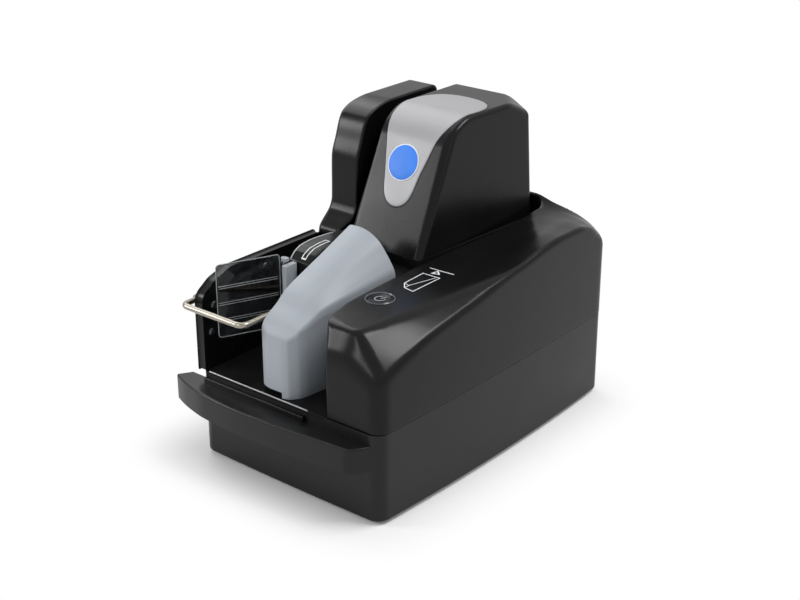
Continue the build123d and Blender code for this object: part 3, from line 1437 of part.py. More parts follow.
def make_electronics() -> None:
    """Main board on its standoffs, with the data socket and the power jack."""
    apart = (board_width - 2 * standoff_inset, board_length - 2 * standoff_inset)
    with BuildPart() as standoffs:
        with BuildSketch(Plane.XY.offset(tub_floor_z)):
            with Locations((0, board_y)):
                with GridLocations(*apart, 2, 2):
                    RegularPolygon(standoff_radius, 6)
        extrude(amount=standoff_height)
    save(standoffs, "board_standoffs")
    with BuildPart() as board:
        with BuildSketch(Plane.XY.offset(board_z)):
            with Locations((0, board_y)):
                Rectangle(board_width, board_length)
        extrude(amount=board_thickness)
        for x, y, size in board_chips:
            with Locations((x, board_y + y, board_z + board_thickness)):
                Box(size, size, chip_height, align=UPRIGHT)
    save(board, "main_board")
    with BuildPart() as socket:
        with Locations((socket_x, rear_y, board_z + board_thickness)):
            Box(socket_width, socket_depth, socket_height, align=(Align.CENTER, Align.MAX, Align.MIN))
        with Locations((socket_x, rear_y, socket_mid_z)):
            Box(
                socket_width - 2 * socket_wall,
                2 * socket_mouth_depth,
                socket_height - 2 * socket_wall,
                mode=Mode.SUBTRACT,
            )
        with Locations((socket_x, rear_y - socket_tongue_back, socket_mid_z)):
            Box(
                socket_width - 2 * socket_wall - 2 * socket_tongue_gap,
                socket_mouth_depth - socket_tongue_back,
                socket_height - 2 * socket_wall - 2 * socket_tongue_gap,
                align=(Align.CENTER, Align.MAX, Align.CENTER),
            )
    save(socket, "data_socket")
    with BuildPart() as jack:
        with Locations((jack_x, rear_y, board_z + board_thickness)):
            Box(jack_size, socket_depth, jack_size, align=(Align.CENTER, Align.MAX, Align.MIN))
        with Locations(Location((jack_x, rear_y, jack_mid_z), (90, 0, 0))):
            Cylinder(jack_radius, 2 * jack_bore_depth, mode=Mode.SUBTRACT)
            Cylinder(jack_pin_radius, 2 * jack_bore_depth, align=MIDDLE)
        split(bisect_by=Plane((0, rear_y, 0), z_dir=(0, 1, 0)), keep=Keep.BOTTOM)
    save(jack, "power_jack")


if __name__ == "__main__":
    os.makedirs("parts", exist_ok=True)
    make_base_tub()
    make_feet()
    make_front_tray()
    make_chassis_plate()
    make_chassis_screws()
    make_track_deck()
    make_main_cover()
    make_hinge_pin()
    make_island_guide()
    make_centre_tower()
    make_inlay_and_badge()
    make_outer_wall()
    make_wall_screws()
    make_outer_tower()
    make_divider_hood()
    make_feeder_block()
    make_flap_post()
    make_flap_pin()
    make_exit_flap()
    make_wire_stop()
    make_wire_collar()
    make_power_button()
    make_driven_rollers()
    make_bushes()
    make_pinch_rollers()
    make_feed_arm()
    make_motor()
    make_sensors()
    make_electronics()
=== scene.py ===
"""Cheque scanner: moulded covers, hood, tray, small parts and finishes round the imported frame."""

import json
import logging
from collections.abc import Callable
from dataclasses import dataclass
from enum import Enum

import bpy
import numpy as np
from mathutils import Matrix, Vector


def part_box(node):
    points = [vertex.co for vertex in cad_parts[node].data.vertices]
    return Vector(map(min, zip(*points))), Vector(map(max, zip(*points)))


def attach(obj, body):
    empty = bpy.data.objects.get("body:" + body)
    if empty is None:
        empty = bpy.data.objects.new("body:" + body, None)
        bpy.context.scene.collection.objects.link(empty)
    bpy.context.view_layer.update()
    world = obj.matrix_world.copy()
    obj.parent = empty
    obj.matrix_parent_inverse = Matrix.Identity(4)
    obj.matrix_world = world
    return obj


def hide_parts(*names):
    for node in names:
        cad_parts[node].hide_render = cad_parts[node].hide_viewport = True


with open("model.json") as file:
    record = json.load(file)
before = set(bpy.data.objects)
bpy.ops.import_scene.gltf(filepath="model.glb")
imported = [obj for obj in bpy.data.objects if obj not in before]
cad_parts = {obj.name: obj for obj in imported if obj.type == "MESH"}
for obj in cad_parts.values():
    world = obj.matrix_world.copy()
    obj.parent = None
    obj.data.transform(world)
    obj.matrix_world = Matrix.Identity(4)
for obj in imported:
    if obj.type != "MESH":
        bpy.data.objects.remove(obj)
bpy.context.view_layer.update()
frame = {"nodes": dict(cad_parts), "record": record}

log = logging.getLogger("cheque_scanner")

MM = 0.001                                   # metres in a millimetre
TUB_LOW, TUB_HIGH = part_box("base_tub")
MIDDLE = (TUB_LOW + TUB_HIGH) / (2 * MM)     # middle of the base in plan, in mm
HALF_WIDTH = 76.0                            # base, across the corners
HALF_LENGTH = 122.5
SIDE_BOW = 2.5                               # outward bow of the long sides at the parting line
END_BOW = 1.0
PARTING_Z = 61.4                             # top of the base, and floor of the slip track
SEAM = 0.001                                 # points closer than this are one
SHARP_EDGE = np.radians(32)                  # edges that turn more than this stay crisp
FEEL = 0.01                                  # step over which the rise of a field is felt
SURVEY = (241, 161)                          # even grid lines that the turning is measured on
SURVEY_HALVINGS = 10
BY_LENGTH, BY_NUMBER = 0.35, 0.02            # pull of length and of plain evenness on the grid lines
WALL_SHARE, TURN_SHARE = 0.4, 0.65           # grid lines up to the core's height, and to the cage's top
RIM_STEPS = 7                                # rings round a rounded rim
BEND_SHARE = 0.45                            # most of a side that a rounded corner takes
WIRE_END = 0.72                              # radius at the cut ends of a wire, over the wire's own
PRINT_ROOT = 0.3                             # how far printed lines reach into the surface
PRINT_STEP = 2.0                             # longest step of a printed line over a curved surface
BARREL_RADIUS = 4.0                          # of a hinge's knuckle


# ---------------------------------------------------------------- shape tools
Field = Callable[[np.ndarray], np.ndarray]                  # distance to a shape, negative inside
Height = Callable[[np.ndarray, np.ndarray], np.ndarray]     # height over the plan


def rounded_max(first: np.ndarray, second: np.ndarray, radius: float) -> np.ndarray:
    """Joins two distances so that the edge where they meet is rounded.

    Well inside it is the larger of the two; nearer than the radius to both it is the length of what
    each reaches past -radius, less the radius, which is a quarter circle between them.

    Args:
        first: distances to one surface, negative inside.
        second: distances to the other.
        radius: radius of the edge.

    Returns:
        The joined distances.
    """
    inner = np.minimum(np.maximum(first, second), -radius)
    return inner + np.hypot(np.maximum(first + radius, 0), np.maximum(second + radius, 0))


def beyond(points: np.ndarray, anchor: tuple, normal: tuple) -> np.ndarray:
    """Distance past a plane: the step from the anchor to the point, along the unit normal."""
    direction = np.asarray(normal, float) / np.linalg.norm(normal)
    return (points - np.asarray(anchor, float)) @ direction


@dataclass(frozen=True)
class Curve:
    """Smooth line through a few places, as a cubic between each two of them.

    The slope at a place is the weighted harmonic mean of the slopes of the chords beside it, and
    nought where they change sign, so that the line never swings past its places.
    """

    at: tuple[float, ...]
    value: tuple[float, ...]

    def __call__(self, where: np.ndarray) -> np.ndarray:
        """Value of the line at each place asked for; past its ends it stays level."""
        x, y = np.asarray(self.at, float), np.asarray(self.value, float)
        step = np.diff(x)
        chord = np.diff(y) / step
        before, after = 2 * step[1:] + step[:-1], step[1:] + 2 * step[:-1]
        level = chord[1:] * chord[:-1] <= 0
        safe = np.where(level, 1.0, chord[:-1]), np.where(level, 1.0, chord[1:])
        between = (before + after) / (before / safe[0] + after / safe[1])
        slope = np.concatenate(([chord[0]], between, [chord[-1]]))
        slope[1:-1][level] = 0
        k = np.clip(np.searchsorted(x, where) - 1, 0, len(step) - 1)
        t = np.clip((where - x[k]) / step[k], 0, 1)
        rise = y[k] * (1 + 2 * t) * (1 - t) ** 2 + y[k + 1] * t * t * (3 - 2 * t)
        return rise + step[k] * (slope[k] * t * (1 - t) ** 2 + slope[k + 1] * t * t * (t - 1))


@dataclass(frozen=True)
class Relief:
    """Gently curved top: a height at each crossing of a few lines in X and Y.

    A Curve runs through each row of heights, and between two rows the height changes evenly along Y.
    """

    across: tuple[float, ...]
    along: tuple[float, ...]
    heights: tuple[tuple[float, ...], ...]

    def __call__(self, x: np.ndarray, y: np.ndarray) -> np.ndarray:
        """Height above each point of the plan."""
        rows = np.stack([Curve(self.across, row)(x) for row in self.heights])
        lines = np.asarray(self.along, float)
        k = np.clip(np.searchsorted(lines, y) - 1, 0, len(lines) - 2)
        t = np.clip((y - lines[k]) / (lines[k + 1] - lines[k]), 0, 1)
        low = np.take_along_axis(rows, k[None], 0)[0]
        high = np.take_along_axis(rows, k[None] + 1, 0)[0]
        return low + (high - low) * t


@dataclass(frozen=True)
class Cage:
    """Rays that a moulded surface is looked for along.

    Each half of the loop runs from the near end of the core to its far end. A ray starts on the core,
    which is inside the piece, and ends on the cage, which is outside it. Up the height the ray is level
    up to the core's height, then its end climbs to the top of the cage, then draws in over the core.
    """

    core: tuple[tuple[float, float], ...]
    right: tuple[tuple[float, float], ...]
    left: tuple[tuple[float, float], ...]
    bottom: float
    core_z: float
    top: float
    lean: tuple[float, float] = (0.0, 0.0)      # move of the core with height, per mm, to x and y

    def rays(self, u: np.ndarray, v: np.ndarray) -> tuple[np.ndarray, np.ndarray]:
        """Starts and ends of the rays of a grid.

        Args:
            u: places round the loop, 0 to 1; the second half runs back along the left side.
            v: places up and over, 0 to 1.

        Returns:
            Two arrays of points, one row for each u and one column for each v.
        """
        half = 1 - np.abs(1 - 2 * u)
        stations = np.linspace(0, 1, len(self.core))
        core, right, left = (
            np.stack([np.interp(half, stations, c) for c in np.transpose(line)], -1)
            for line in (self.core, self.right, self.left))
        rim = np.where((u <= 0.5)[:, None], right, left)
        end_z = np.interp(v, (0, WALL_SHARE, TURN_SHARE, 1), (self.bottom, self.core_z, self.top, self.top))
        reach = np.interp(v, (0, TURN_SHARE, 1), (1, 1, 0))
        start_z = np.minimum(end_z, self.core_z)
        shape = (len(u), len(v))
        lean = np.asarray(self.lean) * (start_z - self.bottom)[:, None]
        starts = np.empty(shape + (3,))
        starts[..., :2] = core[:, None] + lean[None]
        starts[..., 2] = start_z
        ends = np.empty(shape + (3,))
        ends[..., :2] = starts[..., :2] + (rim - core)[:, None] * reach[None, :, None]
        ends[..., 2] = end_z
        return starts, ends


def upright_cage(core: tuple[float, float], low: tuple[float, float], high: tuple[float, float],
                 levels: tuple[float, float, float], lean: tuple[float, float] = (0.0, 0.0)) -> Cage:
    """Cage of a tower, whose rays all start on one upright line.

    Args:
        core: place of that line in plan.
        low: front left corner of the cage.
        high: its rear right corner.
        levels: bottom of the piece, height of the core and top of the cage.
        lean: move of the line with height.

    Returns:
        The cage.
    """
    right, left = (((core[0], low[1]), (x, low[1]), (x, core[1]), (x, high[1]), (core[0], high[1]))
                   for x in (high[0], low[0]))
    return Cage((core,) * 5, right, left, *levels, lean)


def trace(shape: Field, starts: np.ndarray, ends: np.ndarray, steps: int = 20,
          halvings: int = 16) -> np.ndarray:
    """Finds the first place on each ray where it leaves the shape.

    The ray is walked in equal steps until the distance turns positive, and that step is then halved
    again and again, keeping the half in which the sign changes.

    Args:
        shape: distance field, negative inside.
        starts: points inside the shape.
        ends: points outside it.
        steps: steps of the walk.
        halvings: times that the last step is halved.

    Returns:
        The points where the rays come out.
    """
    inside = np.zeros(starts.shape[:-1])
    outside = np.ones(starts.shape[:-1])
    found = np.zeros(starts.shape[:-1], bool)
    for step in range(1, steps + 1):
        share = step / steps
        out = shape(starts + (ends - starts) * share) > 0
        outside = np.where(out & ~found, share, outside)
        found |= out
        inside = np.where(found, inside, share)
    for _ in range(halvings):
        middle = (inside + outside) / 2
        out = shape(starts + (ends - starts) * middle[..., None]) > 0
        outside = np.where(out, middle, outside)
        inside = np.where(out, inside, middle)
    return starts + (ends - starts) * ((inside + outside) / 2)[..., None]


def facing(shape: Field, points: np.ndarray) -> np.ndarray:
    """Unit normals of a field: its rise over a small step along each axis."""
    steps = [shape(points + FEEL * axis) - shape(points - FEEL * axis) for axis in np.eye(3)]
    normal = np.stack(steps, -1)
    return normal / np.maximum(np.linalg.norm(normal, axis=-1, keepdims=True), 1e-9)


def crowded(turn: np.ndarray, length: np.ndarray, count: int, mirrored: bool) -> np.ndarray:
    """Spreads grid lines so that each gap takes the same share of turning and of length.

    Args:
        turn: angle that the surface turns between two lines of an even grid.
        length: distance between them.
        count: gaps wanted.
        mirrored: keep the second half of the lines a mirror image of the first.

    Returns:
        Places of the lines, 0 to 1.
    """
    weight = turn / max(turn.sum(), 1e-9) + BY_LENGTH * length / max(length.sum(), 1e-9)
    weight = weight + BY_NUMBER / len(turn)
    if mirrored:
        weight = weight + weight[::-1]
    total = np.concatenate(([0], np.cumsum(weight)))
    return np.interp(np.linspace(0, 1, count + 1), total / total[-1], np.linspace(0, 1, len(total)))


def wrapped(shape: Field, cage: Cage, around: int, over: int) -> tuple[np.ndarray, np.ndarray]:
    """Grid lines of a cage, crowded where the shape turns, and the points of the surface on them."""
    u, v = (np.linspace(0, 1, lines) for lines in SURVEY)
    points = trace(shape, *cage.rays(u, v), halvings=SURVEY_HALVINGS)
    normal = facing(shape, points)
    for axis, count in ((0, around), (1, over)):
        near = np.take(normal, np.arange(normal.shape[axis] - 1), axis)
        far = np.take(normal, np.arange(1, normal.shape[axis]), axis)
        turn = np.arccos(np.clip((near * far).sum(-1), -1, 1)).mean(1 - axis)
        length = np.linalg.norm(np.diff(points, axis=axis), axis=-1).mean(1 - axis)
        lines = crowded(turn, length, count, mirrored=axis == 0)
        u, v = (lines, v) if axis == 0 else (u, lines)
    return trace(shape, *cage.rays(u, v)), np.stack(np.meshgrid(u, v, indexing="ij"), -1)


def grid_faces(rows: int, columns: int, first: int = 0) -> np.ndarray:
    """Corner numbers of the quads between the points of a grid, row after row."""
    corner = first + np.arange(rows - 1)[:, None] * columns + np.arange(columns - 1)
    return np.stack([corner, corner + columns, corner + columns + 1, corner + 1], -1).reshape(-1, 4)


@dataclass
class Skin:
    """Points in millimetres, from the middle of the base, and the quads between them."""

    points: np.ndarray
    faces: np.ndarray

    def __add__(self, other: "Skin") -> "Skin":
        """Both skins as one."""
        return Skin(np.concatenate([self.points, other.points]),
                    np.concatenate([self.faces, other.faces + len(self.points)]))

    def laid(self, origin: tuple | np.ndarray, first: tuple, second: tuple | np.ndarray) -> "Skin":
        """The skin with its X and Y axes laid along two directions, and its Z axis square to both."""
        axes = np.array([first, second, np.cross(first, second)], float)
        return Skin(np.asarray(origin, float) + self.points @ axes, self.faces)

    def turned(self) -> "Skin":
        """The skin with its faces looking the other way."""
        return Skin(self.points, self.faces[:, ::-1])


def moulding(shape: Field, cage: Cage, wall: float, around: int = 220, over: int = 150) -> Skin:
    """Thin-walled moulding, open at the bottom.

    The outside is where the field is nought and the inside is where it is -wall, both found along the
    same rays, and a strip joins them round the bottom.

    Args:
        shape: distance field of the outside.
        cage: rays that both faces are found along.
        wall: thickness.
        around: quads round the loop.
        over: quads up and over.

    Returns:
        The closed skin.
    """
    outside, lines = wrapped(shape, cage, around, over)
    u, v = lines[:, 0, 0], lines[0, :, 1]
    inside = trace(lambda p: shape(p) + wall, *cage.rays(u, v))
    rows, columns = outside.shape[:2]
    faces = grid_faces(rows, columns)
    count = rows * columns
    rim = np.arange(rows) * columns
    strip = np.stack([rim[:-1], rim[:-1] + count, rim[1:] + count, rim[1:]], -1)
    points = np.concatenate([outside.reshape(-1, 3), inside.reshape(-1, 3)])
    return Skin(points, np.concatenate([faces, faces[:, ::-1] + count, strip]))


def prism(outline: np.ndarray, low: float, high: float) -> Skin:
    """Upright prism: the outline at both heights, joined by quads, with a fan over each end."""
    count = len(outline)
    level = [np.column_stack([outline, np.full(count, z)]) for z in (low, high)]
    middle = [np.append(outline.mean(0), z)[None] for z in (low, high)]
    here = np.arange(count)
    after = (here + 1) % count
    side = np.stack([here, after, after + count, here + count], -1)
    foot = np.stack([here * 0 + 2 * count, after, here, here], -1)
    lid = np.stack([here * 0 + 2 * count + 1, here + count, after + count, after + count], -1)
    return Skin(np.concatenate(level + middle), np.concatenate([side, foot, lid]))


def cushion(outline: np.ndarray, low: float, high: float, edge: float, foot: float = 0.0) -> Skin:
    """Prism with rounded rims.

    Each ring is the outline drawn in along the mitre of the two sides at each corner. Near a rim it is
    drawn in by the radius times one less the cosine of an angle while it climbs by its sine.

    Args:
        outline: corners, anticlockwise.
        low: level of the foot.
        high: level of the top.
        edge: radius of the upper rim.
        foot: radius of the lower rim.

    Returns:
        The closed skin.
    """
    ahead = np.roll(outline, -1, 0) - outline
    ahead = ahead / np.maximum(np.linalg.norm(ahead, axis=1, keepdims=True), 1e-9)
    square = np.stack([ahead[:, 1], -ahead[:, 0]], -1)
    before = np.roll(square, 1, 0)
    mitre = (square + before) / (1 + (square * before).sum(1, keepdims=True))
    turn = np.linspace(0, np.pi / 2, RIM_STEPS)
    inset = np.concatenate([foot * (1 - np.sin(turn)), edge * (1 - np.cos(turn))])
    level = np.concatenate([low + foot * (1 - np.cos(turn)), high - edge * (1 - np.sin(turn))])
    rings = outline[None] - inset[:, None, None] * mitre[None]
    grid = np.concatenate([rings, np.broadcast_to(level[:, None, None], rings.shape[:2] + (1,))], -1)
    grid = np.concatenate([grid, grid[:, :1]], 1)
    rows, columns = grid.shape[:2]
    middle = outline.mean(0)
    here = np.arange(columns - 1)
    last = (rows - 1) * columns
    total = rows * columns
    under = np.stack([here * 0 + total, here + 1, here, here], -1)
    over = np.stack([here * 0 + total + 1, last + here, last + here + 1, last + here + 1], -1)
    points = np.concatenate([grid.reshape(-1, 3), [(*middle, low), (*middle, high)]])
    return Skin(points, np.concatenate([grid_faces(rows, columns)[:, ::-1], under, over]))


def bent(corners: tuple | np.ndarray, radius: float | np.ndarray, count: int = 9) -> np.ndarray:
    """Outline whose corners are rounded.

    At each corner a parabola runs from the point on one side to the point on the other where a circle of
    the radius would touch them, and a reach is never more than BEND_SHARE of the shorter side.

    Args:
        corners: corners of the outline.
        radius: one radius, or a column with one for each corner.
        count: points round each corner.

    Returns:
        Points of the rounded outline.
    """
    at = np.asarray(corners, float)
    back, ahead = np.roll(at, 1, 0) - at, np.roll(at, -1, 0) - at
    lengths = [np.linalg.norm(v, axis=1, keepdims=True) for v in (back, ahead)]
    one, two = back / lengths[0], ahead / lengths[1]
    half = np.arccos(np.clip((one * two).sum(1, keepdims=True), -1, 1)) / 2
    reach = np.minimum(radius / np.tan(half), BEND_SHARE * np.minimum(*lengths))
    share = np.linspace(0, 1, count)[None, :, None]
    start, end = at + one * reach, at + two * reach
    line = start[:, None] * (1 - share) ** 2 + 2 * at[:, None] * share * (1 - share)
    line = line + end[:, None] * share ** 2
    return line.reshape(-1, 2)


def circle(centre: tuple[float, float], radius: float, count: int = 64) -> np.ndarray:
    """Points round a circle, anticlockwise."""
    turn = np.linspace(0, 2 * np.pi, count, endpoint=False)
    return np.stack([centre[0] + radius * np.cos(turn), centre[1] + radius * np.sin(turn)], -1)


def rectangle(low: tuple[float, float], high: tuple[float, float]) -> np.ndarray:
    """Corners of an upright rectangle in plan, anticlockwise."""
    return np.array([low, (high[0], low[1]), high, (low[0], high[1])], float)


def turned_profile(profile: np.ndarray, centre: tuple[float, float], count: int = 96) -> Skin:
    """Profile of radii and heights carried round an upright axis.

    Args:
        profile: radii and heights.
        centre: place of the axis in plan.
        count: quads round the axis.

    Returns:
        The skin, closed where the profile runs back to its start or both its ends lie on the axis.
    """
    turn = np.linspace(0, 2 * np.pi, count + 1)
    x = centre[0] + profile[:, 0] * np.cos(turn)[:, None]
    y = centre[1] + profile[:, 0] * np.sin(turn)[:, None]
    z = np.broadcast_to(profile[:, 1], x.shape)
    return Skin(np.stack([x, y, z], -1).reshape(-1, 3), grid_faces(count + 1, len(profile)))


def tube(path: np.ndarray, radius: float, across: tuple | np.ndarray, count: int, closed: bool) -> Skin:
    """Round wire along a path that lies in a plane.

    At each point the ring lies on the plane's normal and on the direction square to that and to the run,
    which goes from the point before to the point after.

    Args:
        path: points of the wire's middle.
        radius: radius of the wire.
        across: normal of the plane.
        count: points round the wire.
        closed: whether the path runs back to its start; otherwise both ends are drawn in and shut.

    Returns:
        The closed skin.
    """
    run = np.roll(path, -1, 0) - np.roll(path, 1, 0) if closed else np.gradient(path, axis=0)
    run /= np.maximum(np.linalg.norm(run, axis=1, keepdims=True), 1e-9)
    across = np.broadcast_to(np.asarray(across, float), run.shape)
    side = np.cross(run, across)
    turn = np.linspace(0, 2 * np.pi, count + 1)[None, :, None]
    size = np.full(len(path), radius)
    if not closed:
        size[[0, -1]] = radius * WIRE_END
    spoke = np.cos(turn) * side[:, None] + np.sin(turn) * across[:, None]
    ring = path[:, None] + size[:, None, None] * spoke
    if closed:
        ring = np.concatenate([ring, ring[:1]])
        return Skin(ring.reshape(-1, 3), grid_faces(*ring.shape[:2]))
    here = np.arange(count)
    last = (len(path) - 1) * (count + 1)
    total = last + count + 1
    near = np.stack([here * 0 + total, here, here + 1, here + 1], -1)
    far = np.stack([here * 0 + total + 1, last + here + 1, last + here, last + here], -1)
    faces = np.concatenate([grid_faces(len(path), count + 1), near, far])
    return Skin(np.concatenate([ring.reshape(-1, 3), path[[0]], path[[-1]]]), faces)


def ribbon(path: np.ndarray, width: float, height: Height, closed: bool, lift: float = 0.12) -> Skin:
    """Thin printed line on a surface: the path widened to both sides, mitred at its corners.

    Args:
        path: corners of the line in plan.
        width: width of the line.
        height: height of the surface over the plan.
        closed: whether the line runs back to its start.
        lift: thickness of the ink.

    Returns:
        A flat band that lies just over the surface and reaches just into it.
    """
    ring = np.vstack([path, path[:1]]) if closed else path
    runs = np.diff(ring, axis=0)
    lengths = np.linalg.norm(runs, axis=1, keepdims=True)
    steps = max(int(lengths.max() / PRINT_STEP), 1)
    runs = runs / lengths
    square = np.stack([-runs[:, 1], runs[:, 0]], -1)
    before = np.vstack([square[-1:] if closed else square[:1], square])
    after = np.vstack([square, square[:1] if closed else square[-1:]])
    mitre = (before + after) / (1 + (before * after).sum(1, keepdims=True))
    share = np.linspace(0, len(ring) - 1, steps * (len(ring) - 1) + 1)
    lines = [ring + mitre * width * side / 2 for side in (1, -1)]
    edges = [np.stack([np.interp(share, np.arange(len(ring)), c) for c in line.T], -1) for line in lines]
    corners = [(edges[side], up) for side, up in ((0, -PRINT_ROOT), (0, lift), (1, lift), (1, -PRINT_ROOT),
                                                  (0, -PRINT_ROOT))]
    grid = np.stack([np.column_stack([e, height(e[:, 0], e[:, 1]) + up]) for e, up in corners], 1)
    return Skin(grid.reshape(-1, 3), grid_faces(*grid.shape[:2]))


def mesh_from(skin: Skin, name: str) -> bpy.types.Object:
    """Puts a skin into a new mesh, closes its seams and shades it.

    Points that share a cell of a thousandth of a millimetre become one. A corner that repeats the one
    before it is left out of its face, and a face that keeps fewer than three corners is dropped.

    Args:
        skin: points in millimetres from the middle of the base, and quads.
        name: name of the piece.

    Returns:
        The piece, at the origin, in metres.
    """
    cells = np.round(skin.points / SEAM).astype(np.int64)
    _, chosen, inverse = np.unique(cells, axis=0, return_index=True, return_inverse=True)
    faces = inverse.reshape(-1)[skin.faces]
    kept = faces != np.roll(faces, 1, axis=1)
    whole = kept.sum(1) > 2
    faces, kept = faces[whole], kept[whole]
    points = (skin.points[chosen] + np.array([MIDDLE.x, MIDDLE.y, 0])) * MM
    corners = faces[kept]
    sizes = kept.sum(1)
    mesh = bpy.data.meshes.new(name)
    mesh.vertices.add(len(points))
    mesh.vertices.foreach_set("co", points.ravel())
    mesh.loops.add(len(corners))
    mesh.loops.foreach_set("vertex_index", corners)
    mesh.polygons.add(len(faces))
    mesh.polygons.foreach_set("loop_start", np.cumsum(sizes) - sizes)
    mesh.update(calc_edges=True)
    mesh.validate()
    piece = bpy.data.objects.new(name, mesh)
    bpy.context.scene.collection.objects.link(piece)
    shade(piece)
    return piece


def shade(piece: bpy.types.Object) -> None:
    """Smooth shading with crisp edges where two faces meet at more than SHARP_EDGE."""
    piece.data.polygons.foreach_set("use_smooth", np.ones(len(piece.data.polygons), bool))
    piece.data.set_sharp_from_angle(angle=SHARP_EDGE)


def cut_away(piece: bpy.types.Object, *tools: Skin) -> None:
    """Cuts tool shapes out of a piece, one by one, and keeps the plain mesh.

    Args:
        piece: closed piece to cut.
        tools: closed shapes.
    """
    for tool in tools:
        cutter = mesh_from(tool, f"{piece.name}_tool")
        change = piece.modifiers.new("cut", "BOOLEAN")
        change.operation = "DIFFERENCE"
        change.solver = "MANIFOLD"
        change.object = cutter
        whole = bpy.data.meshes.new_from_object(piece.evaluated_get(bpy.context.evaluated_depsgraph_get()))
        piece.modifiers.clear()
        if len(whole.polygons) > 0:
            piece.data = whole
        else:
            log.warning("%s: a tool was skipped", piece.name)
        bpy.data.objects.remove(cutter)
    shade(piece)


# ---------------------------------------------------------------- finishes
def linear(code: str) -> tuple[float, float, float, float]:
    """Turns an sRGB hex colour into the linear values that Blender works in."""
    parts = np.array([int(code[k:k + 2], 16) for k in (1, 3, 5)]) / 255
    low, high = parts / 12.92, ((parts + 0.055) / 1.055) ** 2.4
    return (*np.where(parts <= 0.04045, low, high).tolist(), 1.0)


def add_node(tree: bpy.types.NodeTree, kind: str, settings: dict | None = None,
             links: dict | None = None) -> bpy.types.Node:
    """Adds one node with its settings and links.

    Args:
        tree: node tree to add to.
        kind: Blender's name of the node.
        settings: values by property name (lower case), or by input name or number.
        links: source node and its output, by the input's name or number.

    Returns:
        The new node.
    """
    node = tree.nodes.new(kind)
    for key, value in (settings or {}).items():
        if isinstance(key, str) and key[0].islower():
            setattr(node, key, value)
        else:
            node.inputs[key].default_value = value
    for key, (source, output) in (links or {}).items():
        tree.links.new(source.outputs[output], node.inputs[key])
    return node


@dataclass(frozen=True)
class Finish:
    """A surface as it was made: colours, gloss, moulded or drawn grain, and wear along its edges.

    The grain is a fine noise whose size is grain_mm, raised by grain_depth mm and drawn out by stretch. A
    slow noise of mottle_mm changes the colour by the share mottle and the roughness by uneven, as
    handling and moulding do. Edges within edge_mm show edge_wear of the worn colour. Clear is the share
    of light that passes through, and sheen the share that dust throws back at a low angle.
    """

    name: str
    colour: str
    worn: str
    roughness: float
    metallic: float = 0.0
    ior: float = 1.5
    grain_mm: float = 0.8
    grain_depth: float = 0.02
    stretch: tuple[float, float, float] = (1.0, 1.0, 1.0)
    mottle_mm: float = 40.0
    mottle: float = 0.06
    uneven: float = 0.06
    edge_mm: float = 0.6
    edge_wear: float = 0.25
    clear: float = 0.0
    sheen: float = 0.0

    def material(self) -> bpy.types.Material:
        """Builds the finish as a node material."""
        made = bpy.data.materials.new(self.name)
        made.use_nodes = True
        tree = made.node_tree
        tree.nodes.clear()
        place = add_node(tree, "ShaderNodeTexCoord")
        aligned = add_node(tree, "ShaderNodeMapping", {"Scale": self.stretch}, {"Vector": (place, "Object")})
        fine = {"Scale": 1 / (self.grain_mm * MM), "Detail": 3.0, "Roughness": 0.6}
        grain = add_node(tree, "ShaderNodeTexNoise", fine, {"Vector": (aligned, "Vector")})
        slow = add_node(tree, "ShaderNodeTexNoise", {"Scale": 1 / (self.mottle_mm * MM), "Detail": 4.0},
                        {"Vector": (place, "Object")})
        bump = add_node(tree, "ShaderNodeBump", {"Strength": 1.0, "Distance": self.grain_depth * MM},
                        {"Height": (grain, "Fac")})
        shader = add_node(tree, "ShaderNodeBsdfPrincipled", {
            "Metallic": self.metallic, "IOR": self.ior, "Transmission Weight": self.clear,
            "Sheen Weight": self.sheen,
        }, {"Normal": (bump, "Normal")})
        tone = self.toned(tree, slow, grain)
        tree.links.new(tone.outputs[2], shader.inputs["Base Color"])
        rough = add_node(tree, "ShaderNodeMapRange", {
            "From Min": 0.3, "From Max": 0.7, "To Min": self.roughness - self.uneven,
            "To Max": self.roughness + self.uneven}, {"Value": (slow, "Fac")})
        tree.links.new(rough.outputs["Result"], shader.inputs["Roughness"])
        add_node(tree, "ShaderNodeOutputMaterial", links={"Surface": (shader, "BSDF")})
        return made

    def toned(self, tree: bpy.types.NodeTree, slow: bpy.types.Node, grain: bpy.types.Node) -> bpy.types.Node:
        """Colour of the surface: slow mottling, then paler where an edge is rubbed.

        Args:
            tree: node tree of the material.
            slow: noise of the mottling.
            grain: noise of the fine grain, which breaks the rubbed edge up.

        Returns:
            Mix node whose colour output, number 2, is the colour.
        """
        ramp = add_node(tree, "ShaderNodeValToRGB", links={"Fac": (slow, "Fac")})
        for stop, place, share in zip(ramp.color_ramp.elements, (0.35, 0.65), (-self.mottle, self.mottle)):
            tone = np.minimum(np.array(linear(self.colour)[:3]) * (1 + share), 1)
            stop.position = place
            stop.color = (*tone.tolist(), 1.0)
        soft = add_node(tree, "ShaderNodeBevel", {"samples": 4, "Radius": self.edge_mm * MM})
        flat = add_node(tree, "ShaderNodeNewGeometry")
        turn = add_node(tree, "ShaderNodeVectorMath", {"operation": "DOT_PRODUCT"},
                        {0: (soft, "Normal"), 1: (flat, "Normal")})
        rubbed = {"From Min": 0.99, "From Max": 0.85, "To Min": 0.0, "To Max": self.edge_wear}
        edge = add_node(tree, "ShaderNodeMapRange", rubbed, {"Value": (turn, "Value")})
        broken = add_node(tree, "ShaderNodeMath", {"operation": "MULTIPLY"},
                          {0: (edge, "Result"), 1: (grain, "Fac")})
        return add_node(tree, "ShaderNodeMix", {"data_type": "RGBA", 7: linear(self.worn)},
                        {0: (broken, 0), 6: (ramp, "Color")})


